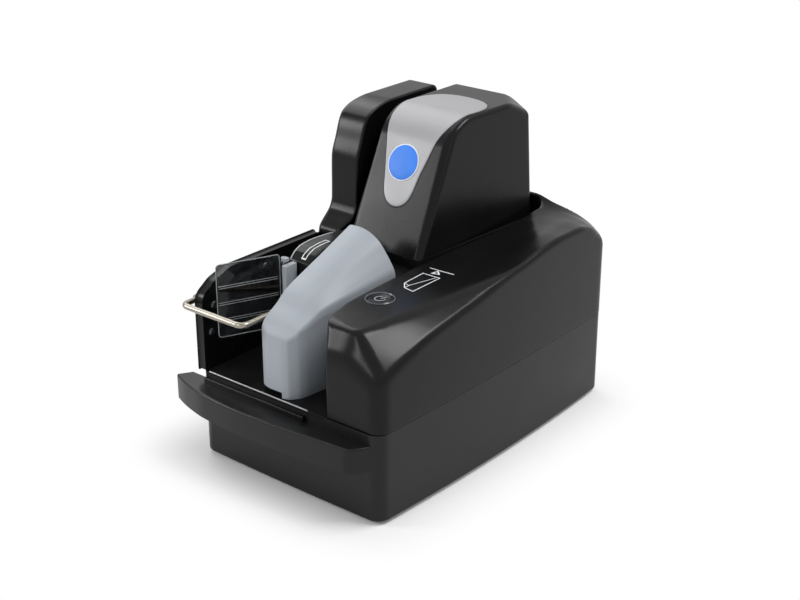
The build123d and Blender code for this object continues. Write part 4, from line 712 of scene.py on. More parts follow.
class Kind(Enum):
    """Finishes of the scanner, by the record's slot where it has one."""

    # Textured black ABS: a fine spark-eroded grain that breaks the highlight into a soft sheen.
    HOUSING = Finish("textured_black_abs", "#0d0d0e", "#303031", 0.26, ior=1.29, grain_mm=0.7,
                     grain_depth=0.012, mottle=0.08, uneven=0.04, edge_mm=0.5, edge_wear=0.35)
    # The base and the tray: the same plastic, a little paler and duller.
    BASE = Finish("textured_black_base", "#151516", "#38383a", 0.34, ior=1.34, grain_mm=0.7,
                  grain_depth=0.014, mottle=0.08, uneven=0.04, edge_mm=0.5, edge_wear=0.35)
    # The same plastic, smoother, where it is seen only in the shade of the track.
    INNER = Finish("plain_black_abs", "#0e0e0f", "#2c2c2d", 0.5, ior=1.3, grain_mm=1.0, grain_depth=0.02,
                   edge_wear=0.1)
    # Cool grey ABS with a mid sheen.
    HOOD = Finish("satin_grey_abs", "#9fa5ac", "#b9bec4", 0.44, ior=1.4, grain_mm=0.8, grain_depth=0.012,
                  mottle=0.03, edge_wear=0.3)
    # Silver lacquer over plastic: fine flakes, so the gloss is broad and the colour drifts a little.
    INLAY = Finish("silver_lacquer", "#9d9da0", "#bababc", 0.44, metallic=0.25, ior=1.4, grain_mm=0.5,
                   grain_depth=0.006, mottle=0.03, edge_wear=0.2)
    # Tinted resin poured into a dome, slightly matt from handling.
    BADGE = Finish("blue_doming_resin", "#448af4", "#7aa9ee", 0.42, grain_mm=6.0, grain_depth=0.004,
                   mottle=0.05, mottle_mm=14.0, edge_wear=0.0, ior=1.3)
    # White pad print: matt, and a little raised.
    RIM = Finish("white_print", "#e9ecee", "#ffffff", 0.45, grain_mm=0.6, grain_depth=0.004, mottle=0.02,
                 edge_wear=0.0)
    # Clear polycarbonate: faintly grey, flow lines from the gate.
    CLEAR = Finish("clear_polycarbonate", "#fafbfb", "#ffffff", 0.03, ior=1.30, grain_mm=3.0,
                   grain_depth=0.001, mottle=0.01, uneven=0.01, edge_wear=0.0, clear=1.0)
    # Float glass over the sensors: faintly green, clear and flat.
    GLASS = Finish("sensor_glass", "#cfd8d4", "#ffffff", 0.04, ior=1.52, grain_mm=12.0, grain_depth=0.002,
                   mottle=0.01, uneven=0.02, edge_wear=0.0, clear=0.9)
    # Bright nickel over drawn wire: lines along the wire show only as a slight blur.
    WIRE = Finish("bright_nickel_wire", "#9f998e", "#8a8377", 0.3, metallic=1.0, grain_mm=0.8,
                  grain_depth=0.002, mottle=0.05, edge_wear=0.0)
    # Ground steel shafts: bright, with fine marks drawn out along their length.
    STEEL = Finish("ground_steel", "#b3b4b6", "#7f8083", 0.26, metallic=1.0, grain_mm=0.5,
                   grain_depth=0.008, stretch=(1.0, 1.0, 0.1), mottle=0.06, edge_wear=0.3)
    # Zinc-plated sheet: spangled patches that catch the light unevenly.
    ZINC = Finish("zinc_plated_sheet", "#b9bbb6", "#8d8f8c", 0.34, metallic=1.0, grain_mm=2.5,
                  grain_depth=0.01, mottle=0.12, mottle_mm=12.0, edge_wear=0.3)
    # Blackened steel: dark in the recess and bright where a driver has rubbed it.
    SCREW = Finish("blackened_screw_steel", "#55565a", "#a5a6a8", 0.34, metallic=1.0, grain_mm=0.6,
                   grain_depth=0.008, edge_wear=0.4)
    # Moulded rubber: dull, with a fine dust of paper.
    ROLLER = Finish("roller_rubber", "#3a3c3e", "#5a5c5e", 0.72, grain_mm=0.6, grain_depth=0.04,
                    edge_wear=0.2, sheen=0.1)
    # Soft rubber: quite matt.
    FOOT = Finish("foot_rubber", "#232325", "#3a3a3c", 0.8, grain_mm=1.2, grain_depth=0.05, edge_wear=0.3)
    # Ribbed belt rubber: matt, and paler along its edges.
    BELT = Finish("belt_rubber", "#1b1b1c", "#39393b", 0.66, grain_mm=1.0, grain_depth=0.05, edge_wear=0.3)
    # Sintered brass: a grainy, warm metal.
    BRASS = Finish("sintered_brass", "#b08a4a", "#d2b071", 0.42, metallic=1.0, grain_mm=0.5,
                   grain_depth=0.02, edge_wear=0.4)
    # Natural acetal: milky white with a waxy sheen.
    PULLEY = Finish("natural_acetal", "#d9d8d0", "#efeee8", 0.4, grain_mm=1.5, grain_depth=0.01,
                    edge_wear=0.2)
    # Solder mask over glass fibre: green, glossy, with cloudy patches of copper under it.
    BOARD = Finish("soldermask_board", "#1f5a3a", "#3c7a55", 0.35, grain_mm=2.0, grain_depth=0.02,
                   mottle=0.2, mottle_mm=8.0, edge_wear=0.2)
    # Light grey acetal: smooth and a little waxy.
    POST = Finish("light_grey_acetal", "#a4a8ad", "#c3c7cb", 0.36, grain_mm=0.9, grain_depth=0.01,
                  mottle=0.03, edge_wear=0.2)
    # Grey print on dark plastic: matt and even.
    PRINT = Finish("pale_print", "#8f9296", "#b4b6b9", 0.4, grain_mm=0.5, grain_depth=0.004, mottle=0.04,
                   edge_wear=0.0)
    # Painted highlight: a pale, half-clear colour on the clear flap's edge bead and ribs, standing in for the
    # light that its cut edges gather.
    PAINTED_GLINT = Finish("painted_glint_plastic", "#a9aeb1", "#d2d5d7", 0.35, grain_mm=0.4, grain_depth=0.004,
                   mottle=0.05, edge_wear=0.1, clear=0.35)
    # Painted highlight: a pale, partly metallic thin bright line that stands in for the light caught along
    # the deck's rounded front edge.
    EDGE = Finish("painted_highlight_line", "#c7c8c9", "#e0e0e1", 0.3, metallic=0.6, grain_mm=0.5,
                  grain_depth=0.004, mottle=0.04, edge_wear=0.2)
    # Dark plated ring: a soft metallic gleam.
    RING = Finish("dark_button_ring", "#5b5e61", "#a5a8ab", 0.24, metallic=0.5, grain_mm=0.6,
                  grain_depth=0.01, mottle=0.04, edge_wear=0.4)

    @property
    def made(self) -> bpy.types.Material:
        """The finish's material, built the first time that it is asked for."""
        found = bpy.data.materials.get(self.value.name)
        return found or self.value.material()


SLOTS = {
    "housing_black": Kind.HOUSING, "inner_black": Kind.INNER, "hood_grey": Kind.HOOD,
    "inlay_silver": Kind.INLAY, "badge_blue": Kind.BADGE, "clear_plastic": Kind.CLEAR,
    "sensor_glass": Kind.GLASS, "nickel_wire": Kind.WIRE, "steel": Kind.STEEL, "zinc_steel": Kind.ZINC,
    "screw_steel": Kind.SCREW, "roller_rubber": Kind.ROLLER, "foot_rubber": Kind.FOOT,
    "belt_rubber": Kind.BELT, "bush_brass": Kind.BRASS, "pulley_plastic": Kind.PULLEY,
    "board_green": Kind.BOARD, "post_grey": Kind.POST, "ring_grey": Kind.RING,
}
OWN = {"base_tub": Kind.BASE, "track_deck": Kind.INNER}     # nodes whose finish isn't their slot's


def placed(skin: Skin, name: str, body: str, slot: str, *nodes: str,
           finish: Kind | None = None) -> bpy.types.Object:
    """Makes a piece of a skin, gives it its finish and sets it on its body.

    Args:
        skin: shape of the piece.
        name: its name.
        body: body that it rides on.
        slot: material slot of the record.
        nodes: frame nodes that it stands for.
        finish: finish, where it isn't the slot's own.

    Returns:
        The piece.
    """
    piece = mesh_from(skin, name)
    piece.data.materials.append((finish or SLOTS[slot]).made)
    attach(piece, body)
    if nodes:
        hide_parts(*nodes)
    log.info("%s: %d faces", name, len(piece.data.polygons))
    return piece


def dress_frame() -> None:
    """Gives every node of the frame that stays in sight the finish of its slot."""
    for subpart in frame["record"]["subparts"]:
        node = frame["nodes"][subpart["node"]]
        node.data.materials.clear()
        finish = OWN.get(subpart["node"], SLOTS[subpart["material_slot"]])
        node.data.materials.append(finish.made)


# ---------------------------------------------------------------- studio
@dataclass
class Studio:
    """Pale floor, white surroundings, four soft lamps and the camera."""

    eye: tuple[float, float, float] = (579.1, -697.8, 481.7)     # mm
    yaw: float = 39.48                                           # degrees, turned left of +Y
    pitch: float = 23.35                                         # degrees, down
    lens: float = 66.46                                          # mm
    sensor: float = 36.0                                         # mm, width
    sight: float = 20.0                                          # m, how far the camera sees
    floor_colour: str = "#f4f4f4"
    floor_half: float = 4.0                                      # m
    floor_lines: int = 17
    foot: tuple[float, float] = (0.068, 0.108)                   # m, half sizes of the shadow's middle
    clear_to: float = 0.062                                      # m past that, where the floor is white
    sky: float = 0.5                                             # light of the surroundings on the scanner
    lamps: tuple = (                                             # place, size (m), power (W), aim
        ((-1.0, -0.83, 0.605), (0.42, 0.34), 5.8, (0.0, 0.0, 0.12)),
        ((0.50, 0.32, 1.20), (0.60, 0.40), 9.5, (0.0, 0.0, 0.12)),
        ((-0.95, 0.35, 1.05), (0.9, 0.7), 5.0, (0.0, 0.0, 0.1)),
        ((-0.08, -1.15, 0.74), (0.3, 0.3), 2.2, (0.0, 0.0, 0.12)),
    )

    def build(self) -> None:
        """Makes the floor, the surroundings, the lamps and the camera."""
        self.make_floor()
        self.make_surroundings()
        for number, (place, size, strength, aim) in enumerate(self.lamps):
            lamp = bpy.data.lights.new(f"softbox_{number}", "AREA")
            lamp.shape = "RECTANGLE"
            lamp.size, lamp.size_y = size
            lamp.energy = strength
            holder = bpy.data.objects.new(lamp.name, lamp)
            holder.location = place
            holder.rotation_euler = (Vector(aim) - Vector(place)).to_track_quat("-Z", "Y").to_euler()
            bpy.context.scene.collection.objects.link(holder)
        self.make_camera()
        bpy.context.scene.view_settings.view_transform = "Standard"

    def make_camera(self) -> None:
        """Camera that looks down at the scanner from its right front."""
        data = bpy.data.cameras.new("camera")
        data.lens = self.lens
        data.sensor_width = self.sensor
        data.clip_end = self.sight
        holder = bpy.data.objects.new("camera", data)
        yaw, pitch = np.radians(self.yaw), np.radians(self.pitch)
        ahead = Vector((-np.sin(yaw) * np.cos(pitch), np.cos(yaw) * np.cos(pitch), -np.sin(pitch)))
        holder.location = Vector(self.eye) * MM
        holder.rotation_euler = ahead.to_track_quat("-Z", "Y").to_euler()
        bpy.context.scene.collection.objects.link(holder)
        bpy.context.scene.camera = holder

    def make_floor(self) -> None:
        """Pale floor that keeps the shadow near the scanner and clears to white further out."""
        edge = np.linspace(-self.floor_half, self.floor_half, self.floor_lines) / MM
        x, y = np.meshgrid(edge, edge, indexing="ij")
        points = np.stack([x, y, np.zeros_like(x)], -1).reshape(-1, 3)
        floor = mesh_from(Skin(points, grid_faces(*x.shape)), "studio_floor")
        made = bpy.data.materials.new("painted_studio_floor")
        made.use_nodes = True
        tree = made.node_tree
        tree.nodes.clear()
        place = add_node(tree, "ShaderNodeTexCoord")
        grain = add_node(tree, "ShaderNodeTexNoise", {"Scale": 400.0, "Detail": 2.0},
                         {"Vector": (place, "Object")})
        bump = add_node(tree, "ShaderNodeBump", {"Strength": 0.4, "Distance": 0.0001},
                        {"Height": (grain, "Fac")})
        paint = add_node(tree, "ShaderNodeBsdfDiffuse", {"Color": linear(self.floor_colour)},
                         {"Normal": (bump, "Normal")})
        white = add_node(tree, "ShaderNodeEmission", {"Strength": 1.0})
        plain = add_node(tree, "ShaderNodeVectorMath", {"operation": "ABSOLUTE"}, {0: (place, "Object")})
        past = add_node(tree, "ShaderNodeVectorMath", {"operation": "SUBTRACT", 1: (*self.foot, 0.0)},
                        {0: (plain, "Vector")})
        outside = add_node(tree, "ShaderNodeVectorMath", {"operation": "MAXIMUM", 1: (0.0, 0.0, 0.0)},
                           {0: (past, "Vector")})
        away = add_node(tree, "ShaderNodeVectorMath", {"operation": "LENGTH"}, {0: (outside, "Vector")})
        soft = {"interpolation_type": "SMOOTHSTEP", "From Min": 0.0, "From Max": self.clear_to}
        fade = add_node(tree, "ShaderNodeMapRange", soft, {"Value": (away, "Value")})
        share = add_node(tree, "ShaderNodeMath", {"operation": "MULTIPLY"},
                         {0: (fade, "Result"), 1: (self.seen(tree), 0)})
        mix = add_node(tree, "ShaderNodeMixShader", links={0: (share, 0), 1: (paint, 0), 2: (white, 0)})
        add_node(tree, "ShaderNodeOutputMaterial", links={"Surface": (mix, 0)})
        floor.data.materials.append(made)

    def seen(self, tree: bpy.types.NodeTree) -> bpy.types.Node:
        """Node that is 1 for rays from the camera, a reflection or through glass."""
        path = add_node(tree, "ShaderNodeLightPath")
        either = add_node(tree, "ShaderNodeMath", {"operation": "MAXIMUM"},
                          {0: (path, "Is Camera Ray"), 1: (path, "Is Glossy Ray")})
        return add_node(tree, "ShaderNodeMath", {"operation": "MAXIMUM"},
                        {0: (either, 0), 1: (path, "Is Transmission Ray")})

    def make_surroundings(self) -> None:
        """White world: full white where it is seen, gentler where it lights the scanner."""
        world = bpy.data.worlds.new("white_surroundings")
        world.use_nodes = True
        tree = world.node_tree
        tree.nodes.clear()
        strength = add_node(tree, "ShaderNodeMapRange", {"To Min": self.sky, "To Max": 1.0},
                            {"Value": (self.seen(tree), 0)})
        light = add_node(tree, "ShaderNodeBackground", links={"Strength": (strength, "Result")})
        add_node(tree, "ShaderNodeOutputWorld", links={"Surface": (light, 0)})
        bpy.context.scene.world = world


# ---------------------------------------------------------------- covers
@dataclass
class CentreTower:
    """Tall cover over the island, its silver inlay and the round badge."""

    left: float = -43.2
    right_foot: float = 17.7            # right face at its front foot
    right_flare: float = 0.058          # and its drift to the right, per mm towards the rear
    right_lean: float = 0.05            # inward lean per mm of height
    foot: tuple = (-13.6, 126.0)        # y and z of the slanted front's foot
    brow: tuple = (23.0, 203.0)         # and of its upper end
    rear: float = 105.0
    rear_lean: float = 0.012
    top: float = 210.0
    brow_round: float = 17.0
    rear_round: float = 4.5
    left_round: float = 3.5
    right_round: float = 3.4
    corner: tuple = ((12.0, 90.5, 210.0), (0.456, 0.371, 0.809))   # slanted facet at the rear right
    corner_round: float = 1.6
    flute: tuple = ((18.6, -15.8, 122.0), (16.4, 22.0, 205.0))     # hollow along the front right edge
    flute_radius: tuple = (3.4, 5.2)    # at its foot and at its top
    flute_start: float = -0.1           # share of its length that it runs on below its foot
    lip_round: float = 1.1
    wall: float = 2.5
    core: tuple = (-13.0, 46.0)         # line that the rays start on, and its lean to the rear
    core_lean: tuple = (0.0, 0.24)
    slit: tuple = (30.0, 18.0, 62.9, 108.0)         # middle y, width, foot and height of the sensor's slit
    slit_reach: float = 10.0
    inlay: tuple = (
        (-20.7, -6.5), (-15.3, -23.5), (-10.0, -40.4), (-7.2, -45.2), (-1.8, -47.8), (4.2, -47.8),
        (9.2, -45.6), (12.0, -42.1), (14.6, -30.0), (17.5, -18.4), (20.4, -7.4), (23.2, 1.1), (27.0, 13.1),
        (29.1, 27.0), (28.8, 35.5), (26.4, 41.0), (17.6, 46.6), (4.3, 48.6), (-8.0, 47.6), (-17.0, 43.8),
        (-22.6, 36.0), (-24.6, 25.0), (-24.4, 12.0), (-23.0, 0.4),
    )
    inlay_x: float = -15.0
    inlay_tilt: float = 0.9             # tilt of the inlay's plane, up from the slanted front
    inlay_rays: tuple = (-45.0, 30.0)   # ends of the rays that find the cover, from that plane
    inlay_lift: float = 0.6
    inlay_waves: int = 10               # waves of its outline that are kept, which smooths the corners
    inlay_edge: tuple = ((0.0, -1.2), (0.0, -0.35), (-0.12, -0.1))  # growth, and height below its face
    inlay_inner: float = -0.5           # growth where the face starts
    inlay_hole: float = 0.02            # hidden hole in the middle of its underside, over its size
    joint: tuple = ((-0.2, -0.4), (-0.2, 0.1), (0.55, 0.1), (0.85, -0.4), (-0.2, -0.4))
    badge_x: float = -15.2
    badge_up: float = 59.2              # along the slanted front, from its foot
    badges: tuple = (                   # name, finish, radius, then shares of the radius and heights
        ("badge_rim", Kind.RIM, 12.4, ((1.0, -0.3), (1.0, 0.3), (0.97, 0.42), (0.0, 0.44))),
        ("badge_face", Kind.BADGE, 11.65,
         ((1.0, 0.2), (1.0, 0.5), (0.97, 0.6), (0.7, 0.78), (0.4, 0.86), (0.0, 0.9))),
    )

    @property
    def slant(self) -> np.ndarray:
        """Unit vector up the slanted front."""
        run = np.array([0, self.brow[0] - self.foot[0], self.brow[1] - self.foot[1]])
        return run / np.linalg.norm(run)

    @property
    def ahead(self) -> np.ndarray:
        """Unit vector out of the slanted front."""
        return np.array([0, -self.slant[2], self.slant[1]])

    def shape(self, points: np.ndarray) -> np.ndarray:
        """Distance to the cover: planes for its faces, each pair joined with a rounded edge.

        The flute is a round bar along a line, whose radius grows from its foot to its top, taken away.
        """
        front = beyond(points, (0, *self.foot), self.ahead)
        right = beyond(points, (self.right_foot, *self.foot), (1, -self.right_flare, self.right_lean))
        rear = beyond(points, (0, self.rear, self.foot[1]), (0, 1, self.rear_lean))
        crest = rounded_max(front, points[..., 2] - self.top, self.brow_round)
        crest = rounded_max(crest, rear, self.rear_round)
        crest = rounded_max(crest, beyond(points, *self.corner), self.corner_round)
        body = rounded_max(crest, right, self.right_round)
        foot, head = (np.asarray(end) for end in self.flute)
        run = head - foot
        share = np.clip((points - foot) @ run / (run @ run), self.flute_start, 1.0)
        off = np.linalg.norm(points - foot - share[..., None] * run, axis=-1)
        body = rounded_max(body, np.interp(share, (0, 1), self.flute_radius) - off, self.lip_round)
        return rounded_max(body, self.left - points[..., 0], self.left_round)

    @property
    def cage(self) -> Cage:
        """Rays from an upright core that leans with the front."""
        return upright_cage(self.core, (-90.0, -60.0), (60.0, 150.0), (self.foot[1], 170.0, 262.0),
                            self.core_lean)

    def over_front(self, outline: np.ndarray, lift: float) -> np.ndarray:
        """Puts points of the inlay's plane on the cover, straight along that plane's normal.

        Args:
            outline: places to the right of the inlay's middle and up the plane from the brow.
            lift: height over the cover.

        Returns:
            Points on the cover.
        """
        view = self.ahead + (0, 0, self.inlay_tilt)
        view /= np.linalg.norm(view)
        right = np.array([1, 0, 0])
        plane = np.array([self.inlay_x, *self.brow]) + outline @ np.array([right, np.cross(view, right)])
        near, far = (plane + view * reach for reach in self.inlay_rays)
        return trace(lambda p: self.shape(p) - lift, near, far, steps=40)

    def ring(self, grow: float, count: int = 160) -> np.ndarray:
        """Outline of the inlay, grown outwards by some millimetres along its own normals.

        The corners are joined at even steps and only the slowest waves of the outline are kept, which
        leaves a smooth closed curve through them.

        Args:
            grow: distance outwards.
            count: points of the outline.

        Returns:
            Points of the outline, with the first one again at the end.
        """
        closed = np.array((*self.inlay, self.inlay[0]))
        at = np.concatenate(([0], np.cumsum(np.linalg.norm(np.diff(closed, axis=0), axis=1))))
        spread = np.linspace(0, at[-1], count, endpoint=False)
        even = np.stack([np.interp(spread, at, c) for c in closed.T], -1) @ (1, 1j)
        keep = np.abs(np.fft.fftfreq(count) * count) <= self.inlay_waves
        smooth = np.fft.ifft(np.where(keep, np.fft.fft(even), 0))
        step = np.roll(smooth, -1) - np.roll(smooth, 1)
        smooth = smooth - 1j * step / np.abs(step) * grow
        smooth = np.append(smooth, smooth[0])
        return np.stack([smooth.real, smooth.imag], -1)

    def patch(self, rings: list[tuple[np.ndarray, float]]) -> Skin:
        """Skin over a stack of outlines, each with its lift over the cover, row by row."""
        grid = np.stack([self.over_front(outline, lift) for outline, lift in rings])
        return Skin(grid.reshape(-1, 3), grid_faces(*grid.shape[:2]))

    def build(self) -> None:
        """Makes the cover with its slit, the inlay with its joint, and the badge."""
        cover = placed(moulding(self.shape, self.cage, self.wall), "centre_tower_cover", "frame",
                       "housing_black", "centre_tower")
        y, width, low, height = self.slit
        near, far = self.left - self.slit_reach, self.left + self.slit_reach
        cut_away(cover, prism(rectangle((near, y - width / 2), (far, y + width / 2)), low, low + height))
        rim, inner = self.ring(0.0), self.ring(self.inlay_inner)
        middle = rim[:-1].mean(0)
        under = [(middle + (rim - middle) * self.inlay_hole, self.inlay_lift + self.inlay_edge[0][1])]
        edge = [(self.ring(grow), self.inlay_lift + drop) for grow, drop in self.inlay_edge]
        face = [(middle + (inner - middle) * share, self.inlay_lift) for share in np.linspace(1, 0, 26)]
        placed(self.patch(under + edge + face).turned(), "silver_inlay", "frame", "inlay_silver",
               "tower_inlay")
        band = [(self.ring(grow), lift) for grow, lift in self.joint]
        placed(self.patch(band), "inlay_joint", "frame", "inner_black")
        self.build_badge()

    def build_badge(self) -> None:
        """Slightly domed disc with a pale rim, tilted with the front."""
        foot = np.array([self.badge_x, *self.foot])
        centre = foot + self.slant * self.badge_up + self.ahead * self.inlay_lift
        for name, finish, radius, profile in self.badges:
            disc = turned_profile(np.array(profile) * (radius, 1.0), (0.0, 0.0))
            nodes = ("badge_disc",) if name == "badge_face" else ()
            placed(disc.laid(centre, (1, 0, 0), self.slant), name, "frame", "badge_blue", *nodes,
                   finish=finish)


def hinge_barrel(name: str, body: str, place: tuple[float, float], levels: tuple[float, float],
                 reach: float, bore: float) -> None:
    """Makes one knuckle of the outer tower's hinge: half a barrel with a web, and a bore for the pin.

    Args:
        name: name of the piece.
        body: body that it rides on.
        place: the hinge in plan.
        levels: its lower and upper end.
        reach: how far the web runs to the rear, or to the front where it is negative.
        bore: radius of the bore.
    """
    x, y = place
    half = slice(24, None) if reach > 0 else slice(25)
    side = np.copysign(BARREL_RADIUS, reach)
    web = [(x + side, y + reach), (x - side, y + reach)]
    outline = np.vstack([circle(place, BARREL_RADIUS, 48)[half], web])
    barrel = placed(prism(outline, *levels), name, body, "housing_black")
    cut_away(barrel, prism(circle(place, bore), levels[0] - 1, levels[1] + 1))


def roller_window(node: str, room: float = 0.6) -> Skin:
    """Round window in a wall of the track, a little larger than the roller behind it."""
    low, high = (corner / MM - Vector((MIDDLE.x, MIDDLE.y, 0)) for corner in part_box(node))
    radius = (high.x - low.x) / 2 + room
    return prism(circle(((low.x + high.x) / 2, (low.y + high.y) / 2), radius), low.z - room, high.z + room)


@dataclass
class MainCover:
    """Right and rear cover: slanted facets at the front, a swelling top, the track's outer wall."""

    proud: float = 0.5                  # past the base along its sides
    corner: float = 9.0
    low: float = 61.5
    wall: float = 2.5
    groove: float = 0.6                 # depth of the joint over the base
    rim_round: float = 1.3
    top_round: float = 3.2
    pocket: Curve = Curve((-124, -120, -110, -102, -93.6, -83, -50, -14, 108, 125),
                          (35.0, 33.0, 26.0, 22.6, 20.8, 19.2, 18.8, 20.0, 29.8, 31.2))
    track_rear: float = 113.0
    track_corner: float = 8.0
    outer_left: float = -50.5
    wrap_y: float = 93.1
    notch: tuple = (-67.7, 101.3)       # corner that is left free for the hinge
    relief: Relief = Relief(
        (-76, -30, 20, 35, 50, 65, 76),
        (-122, -60, -14, 20, 40, 60, 90, 105, 115, 123),
        (
            (120.2, 120.2, 120.2, 120.2, 120.2, 120.2, 120.2),
            (122.7, 122.7, 122.7, 122.7, 122.7, 122.7, 122.6),
            (124.6, 124.6, 124.6, 124.7, 125.2, 126.0, 126.4),
            (125.6, 125.6, 125.6, 125.9, 127.0, 128.5, 129.0),
            (126.3, 126.3, 126.3, 127.0, 129.0, 131.9, 133.0),
            (127.0, 127.0, 127.0, 128.2, 131.0, 134.0, 134.9),
            (129.0, 129.0, 129.0, 130.4, 132.6, 134.2, 134.0),
            (132.0, 134.0, 132.6, 132.6, 132.8, 131.6, 128.0),
            (132.0, 138.6, 138.6, 135.2, 132.4, 127.2, 119.5),
            (124.0, 130.0, 130.0, 128.5, 126.0, 119.0, 108.0),
        ))
    relief_share: float = 0.93          # distance per mm of height over the sloping top
    front_foot: Curve = Curve((28, 38, 48, 54, 62, 70, 78), (103.9, 104.5, 105.0, 103.6, 99.2, 94.8, 90.4))
    front_pitch: float = 1.7            # rise of the front facet over its depth
    side_foot: Curve = Curve((-124, -118, -113, -103, -75, -50, -30, 0, 60),
                             (94.6, 97.4, 100.0, 104.4, 113.4, 118.2, 121.6, 128.0, 142.0))
    side_pitch: Curve = Curve((-124, -102, -83, -61, -47, 0), (0.95, 0.78, 0.58, 0.46, 0.43, 0.43))
    side_round: float = 2.4
    crease_round: float = 3.0
    arm_window: tuple = ((13.0, -98.0), (24.0, -74.0), 72.0, 102.0)
    seat: tuple = ((32.4, -69.5), 10.05, 110.0, 150.0)      # of the button: middle, radius and levels
    hinge: tuple = (-72.0, 97.0)
    ears: tuple = ((75.0, 83.0), (101.0, 109.0))
    ear_reach: float = 7.0
    ear_bore: float = 2.02

    def plan(self, x: np.ndarray, y: np.ndarray) -> np.ndarray:
        """Distance to the outer outline: bowed sides and ends, joined by round corners."""
        side = np.abs(x) - HALF_WIDTH - self.proud - SIDE_BOW * (1 - (y / HALF_LENGTH) ** 2)
        end = np.abs(y) - HALF_LENGTH - END_BOW * (1 - (x / HALF_WIDTH) ** 2)
        return rounded_max(side, end, self.corner)

    def hollow(self, x: np.ndarray, y: np.ndarray) -> np.ndarray:
        """Distance inside what the cover wraps: pockets, towers and the track round them."""
        rear = rounded_max(y - self.track_rear, self.outer_left - x, self.track_corner)
        deep = np.minimum(rear, y - self.wrap_y)
        wrapped_in = rounded_max(x - self.pocket(y), deep, self.track_corner)
        notch = np.maximum(x - self.notch[0], y - self.notch[1])
        return np.minimum(wrapped_in, notch)

    def shape(self, points: np.ndarray) -> np.ndarray:
        """Distance to the cover: outline, less the hollow, under the top and the two facets.

        A facet is a plane that leans in from its foot: its height is that of the foot plus the pitch times
        the distance behind the wall. The groove along the parting line is a bell curve over the height.
        """
        x, y, z = points[..., 0], points[..., 1], points[..., 2]
        top = (z - self.relief(x, y)) * self.relief_share
        pitch = self.front_pitch
        front = (z - self.front_foot(x) - pitch * (y + HALF_LENGTH)) / np.hypot(1, pitch)
        pitch = self.side_pitch(y)
        side = (z - self.side_foot(y) - pitch * (HALF_WIDTH - x)) / np.hypot(1, pitch)
        facets = rounded_max(front, side, self.crease_round)
        top = rounded_max(top, facets, self.side_round)
        body = rounded_max(top, self.plan(x, y), self.top_round)
        body = rounded_max(body, -self.hollow(x, y), self.rim_round)
        return body + self.groove * np.exp(-((z - self.low) / self.groove) ** 2)

    @property
    def cage(self) -> Cage:
        """Rays from a core that runs along the right side, round the corner and along the rear."""
        core = ((54, -98), (54, -98), (54, -98), (50, -45), (51, 30), (55, 92), (50, 106), (44, 113.5),
                (34, 117.6), (-40, 117.6), (-54, 113.6), (-58, 111), (-58, 111), (-58, 111))
        right = ((56, -150), (100, -150), (120, -98), (120, -45), (120, 30), (120, 96), (120, 138), (96, 160),
                 (40, 160), (-40, 160), (-60, 160), (-110, 160), (-120, 112), (-120, 86))
        left = ((56, -150), (12, -150), (0, -98), (0, -45), (0, 30), (0, 70), (8, 76), (16, 80),
                (30, 90), (-40, 90), (-36, 90), (-52, 70), (-74, 70), (-120, 86))
        return Cage(core, right, left, self.low, 92.0, 175.0)

    def build(self) -> None:
        """Makes the cover, cuts its windows and the button's seat, and adds the hinge's ears."""
        cover = placed(moulding(self.shape, self.cage, self.wall, around=330, over=140),
                       "right_and_rear_cover", "frame", "housing_black", "main_cover")
        windows = [roller_window(name) for name in ("pinch_1_roller", "pinch_2_roller", "retard_roller")]
        near, far, low, high = self.arm_window
        middle, radius, foot, head = self.seat
        cut_away(cover, *windows, prism(rectangle(near, far), low, high),
                 prism(circle(middle, radius), foot, head))
        for levels in self.ears:
            hinge_barrel(f"hinge_ear_{int(levels[0])}", "frame", self.hinge, levels, self.ear_reach,
                         self.ear_bore)


@dataclass
class OuterTower:
    """Narrow tower on the left that swings out on its upright hinge."""

    left: float = -76.0
    right: float = -50.5
    rear: float = 92.5
    low: float = 61.7
    top: float = 210.0
    front: Curve = Curve((61.0, 121.0, 125.5, 138.6, 144.0, 173.5, 187.0, 200.5, 206.0, 211.0),
                         (-9.7, -9.7, -9.0, 2.6, 4.4, 5.2, 9.6, 15.0, 21.0, 35.0))
    front_share: float = 0.8            # distance per mm of depth before the sloping front
    top_round: float = 9.0
    left_round: float = 4.2
    right_round: float = 1.6
    rear_round: float = 5.0
    lead: tuple = ((-57.5, -9.7, 0.0), (1.6, -1.0, 0.0))     # slanted face that leads a slip in
    lead_round: float = 1.5
    wall: float = 2.5
    slit: tuple = ((-60.5, 33.0), (-40.5, 51.0), 62.9, 170.9)
    hinge: tuple = (-72.0, 97.0)
    knuckles: tuple = ((61.7, 74.7), (109.3, 122.3))
    knuckle_reach: float = -6.5
    knuckle_bore: float = 2.05

    def shape(self, points: np.ndarray) -> np.ndarray:
        """Distance to the tower: its side profile between two side faces, with rounded edges."""
        x, y, z = points[..., 0], points[..., 1], points[..., 2]
        profile = rounded_max((self.front(z) - y) * self.front_share, z - self.top, self.top_round)
        profile = rounded_max(profile, y - self.rear, self.rear_round)
        body = rounded_max(profile, self.left - x, self.left_round)
        body = rounded_max(body, x - self.right, self.right_round)
        return rounded_max(body, beyond(points, *self.lead), self.lead_round)

    def build(self) -> None:
        """Makes the tower, its sensor's slit, the pinch roller's window and the hinge's knuckles."""
        cage = upright_cage((-64.0, 48.0), (-110.0, -60.0), (-20.0, 140.0), (self.low, 180.0, 240.0))
        tower = placed(moulding(self.shape, cage, self.wall, around=260, over=190), "outer_tower_cover",
                       "outer_tower", "housing_black", "outer_tower")
        near, far, low, high = self.slit
        cut_away(tower, prism(rectangle(near, far), low, high), roller_window("pinch_3_roller"))
        for levels in self.knuckles:
            hinge_barrel(f"tower_knuckle_{int(levels[0])}", "outer_tower", self.hinge, levels,
                         self.knuckle_reach, self.knuckle_bore)


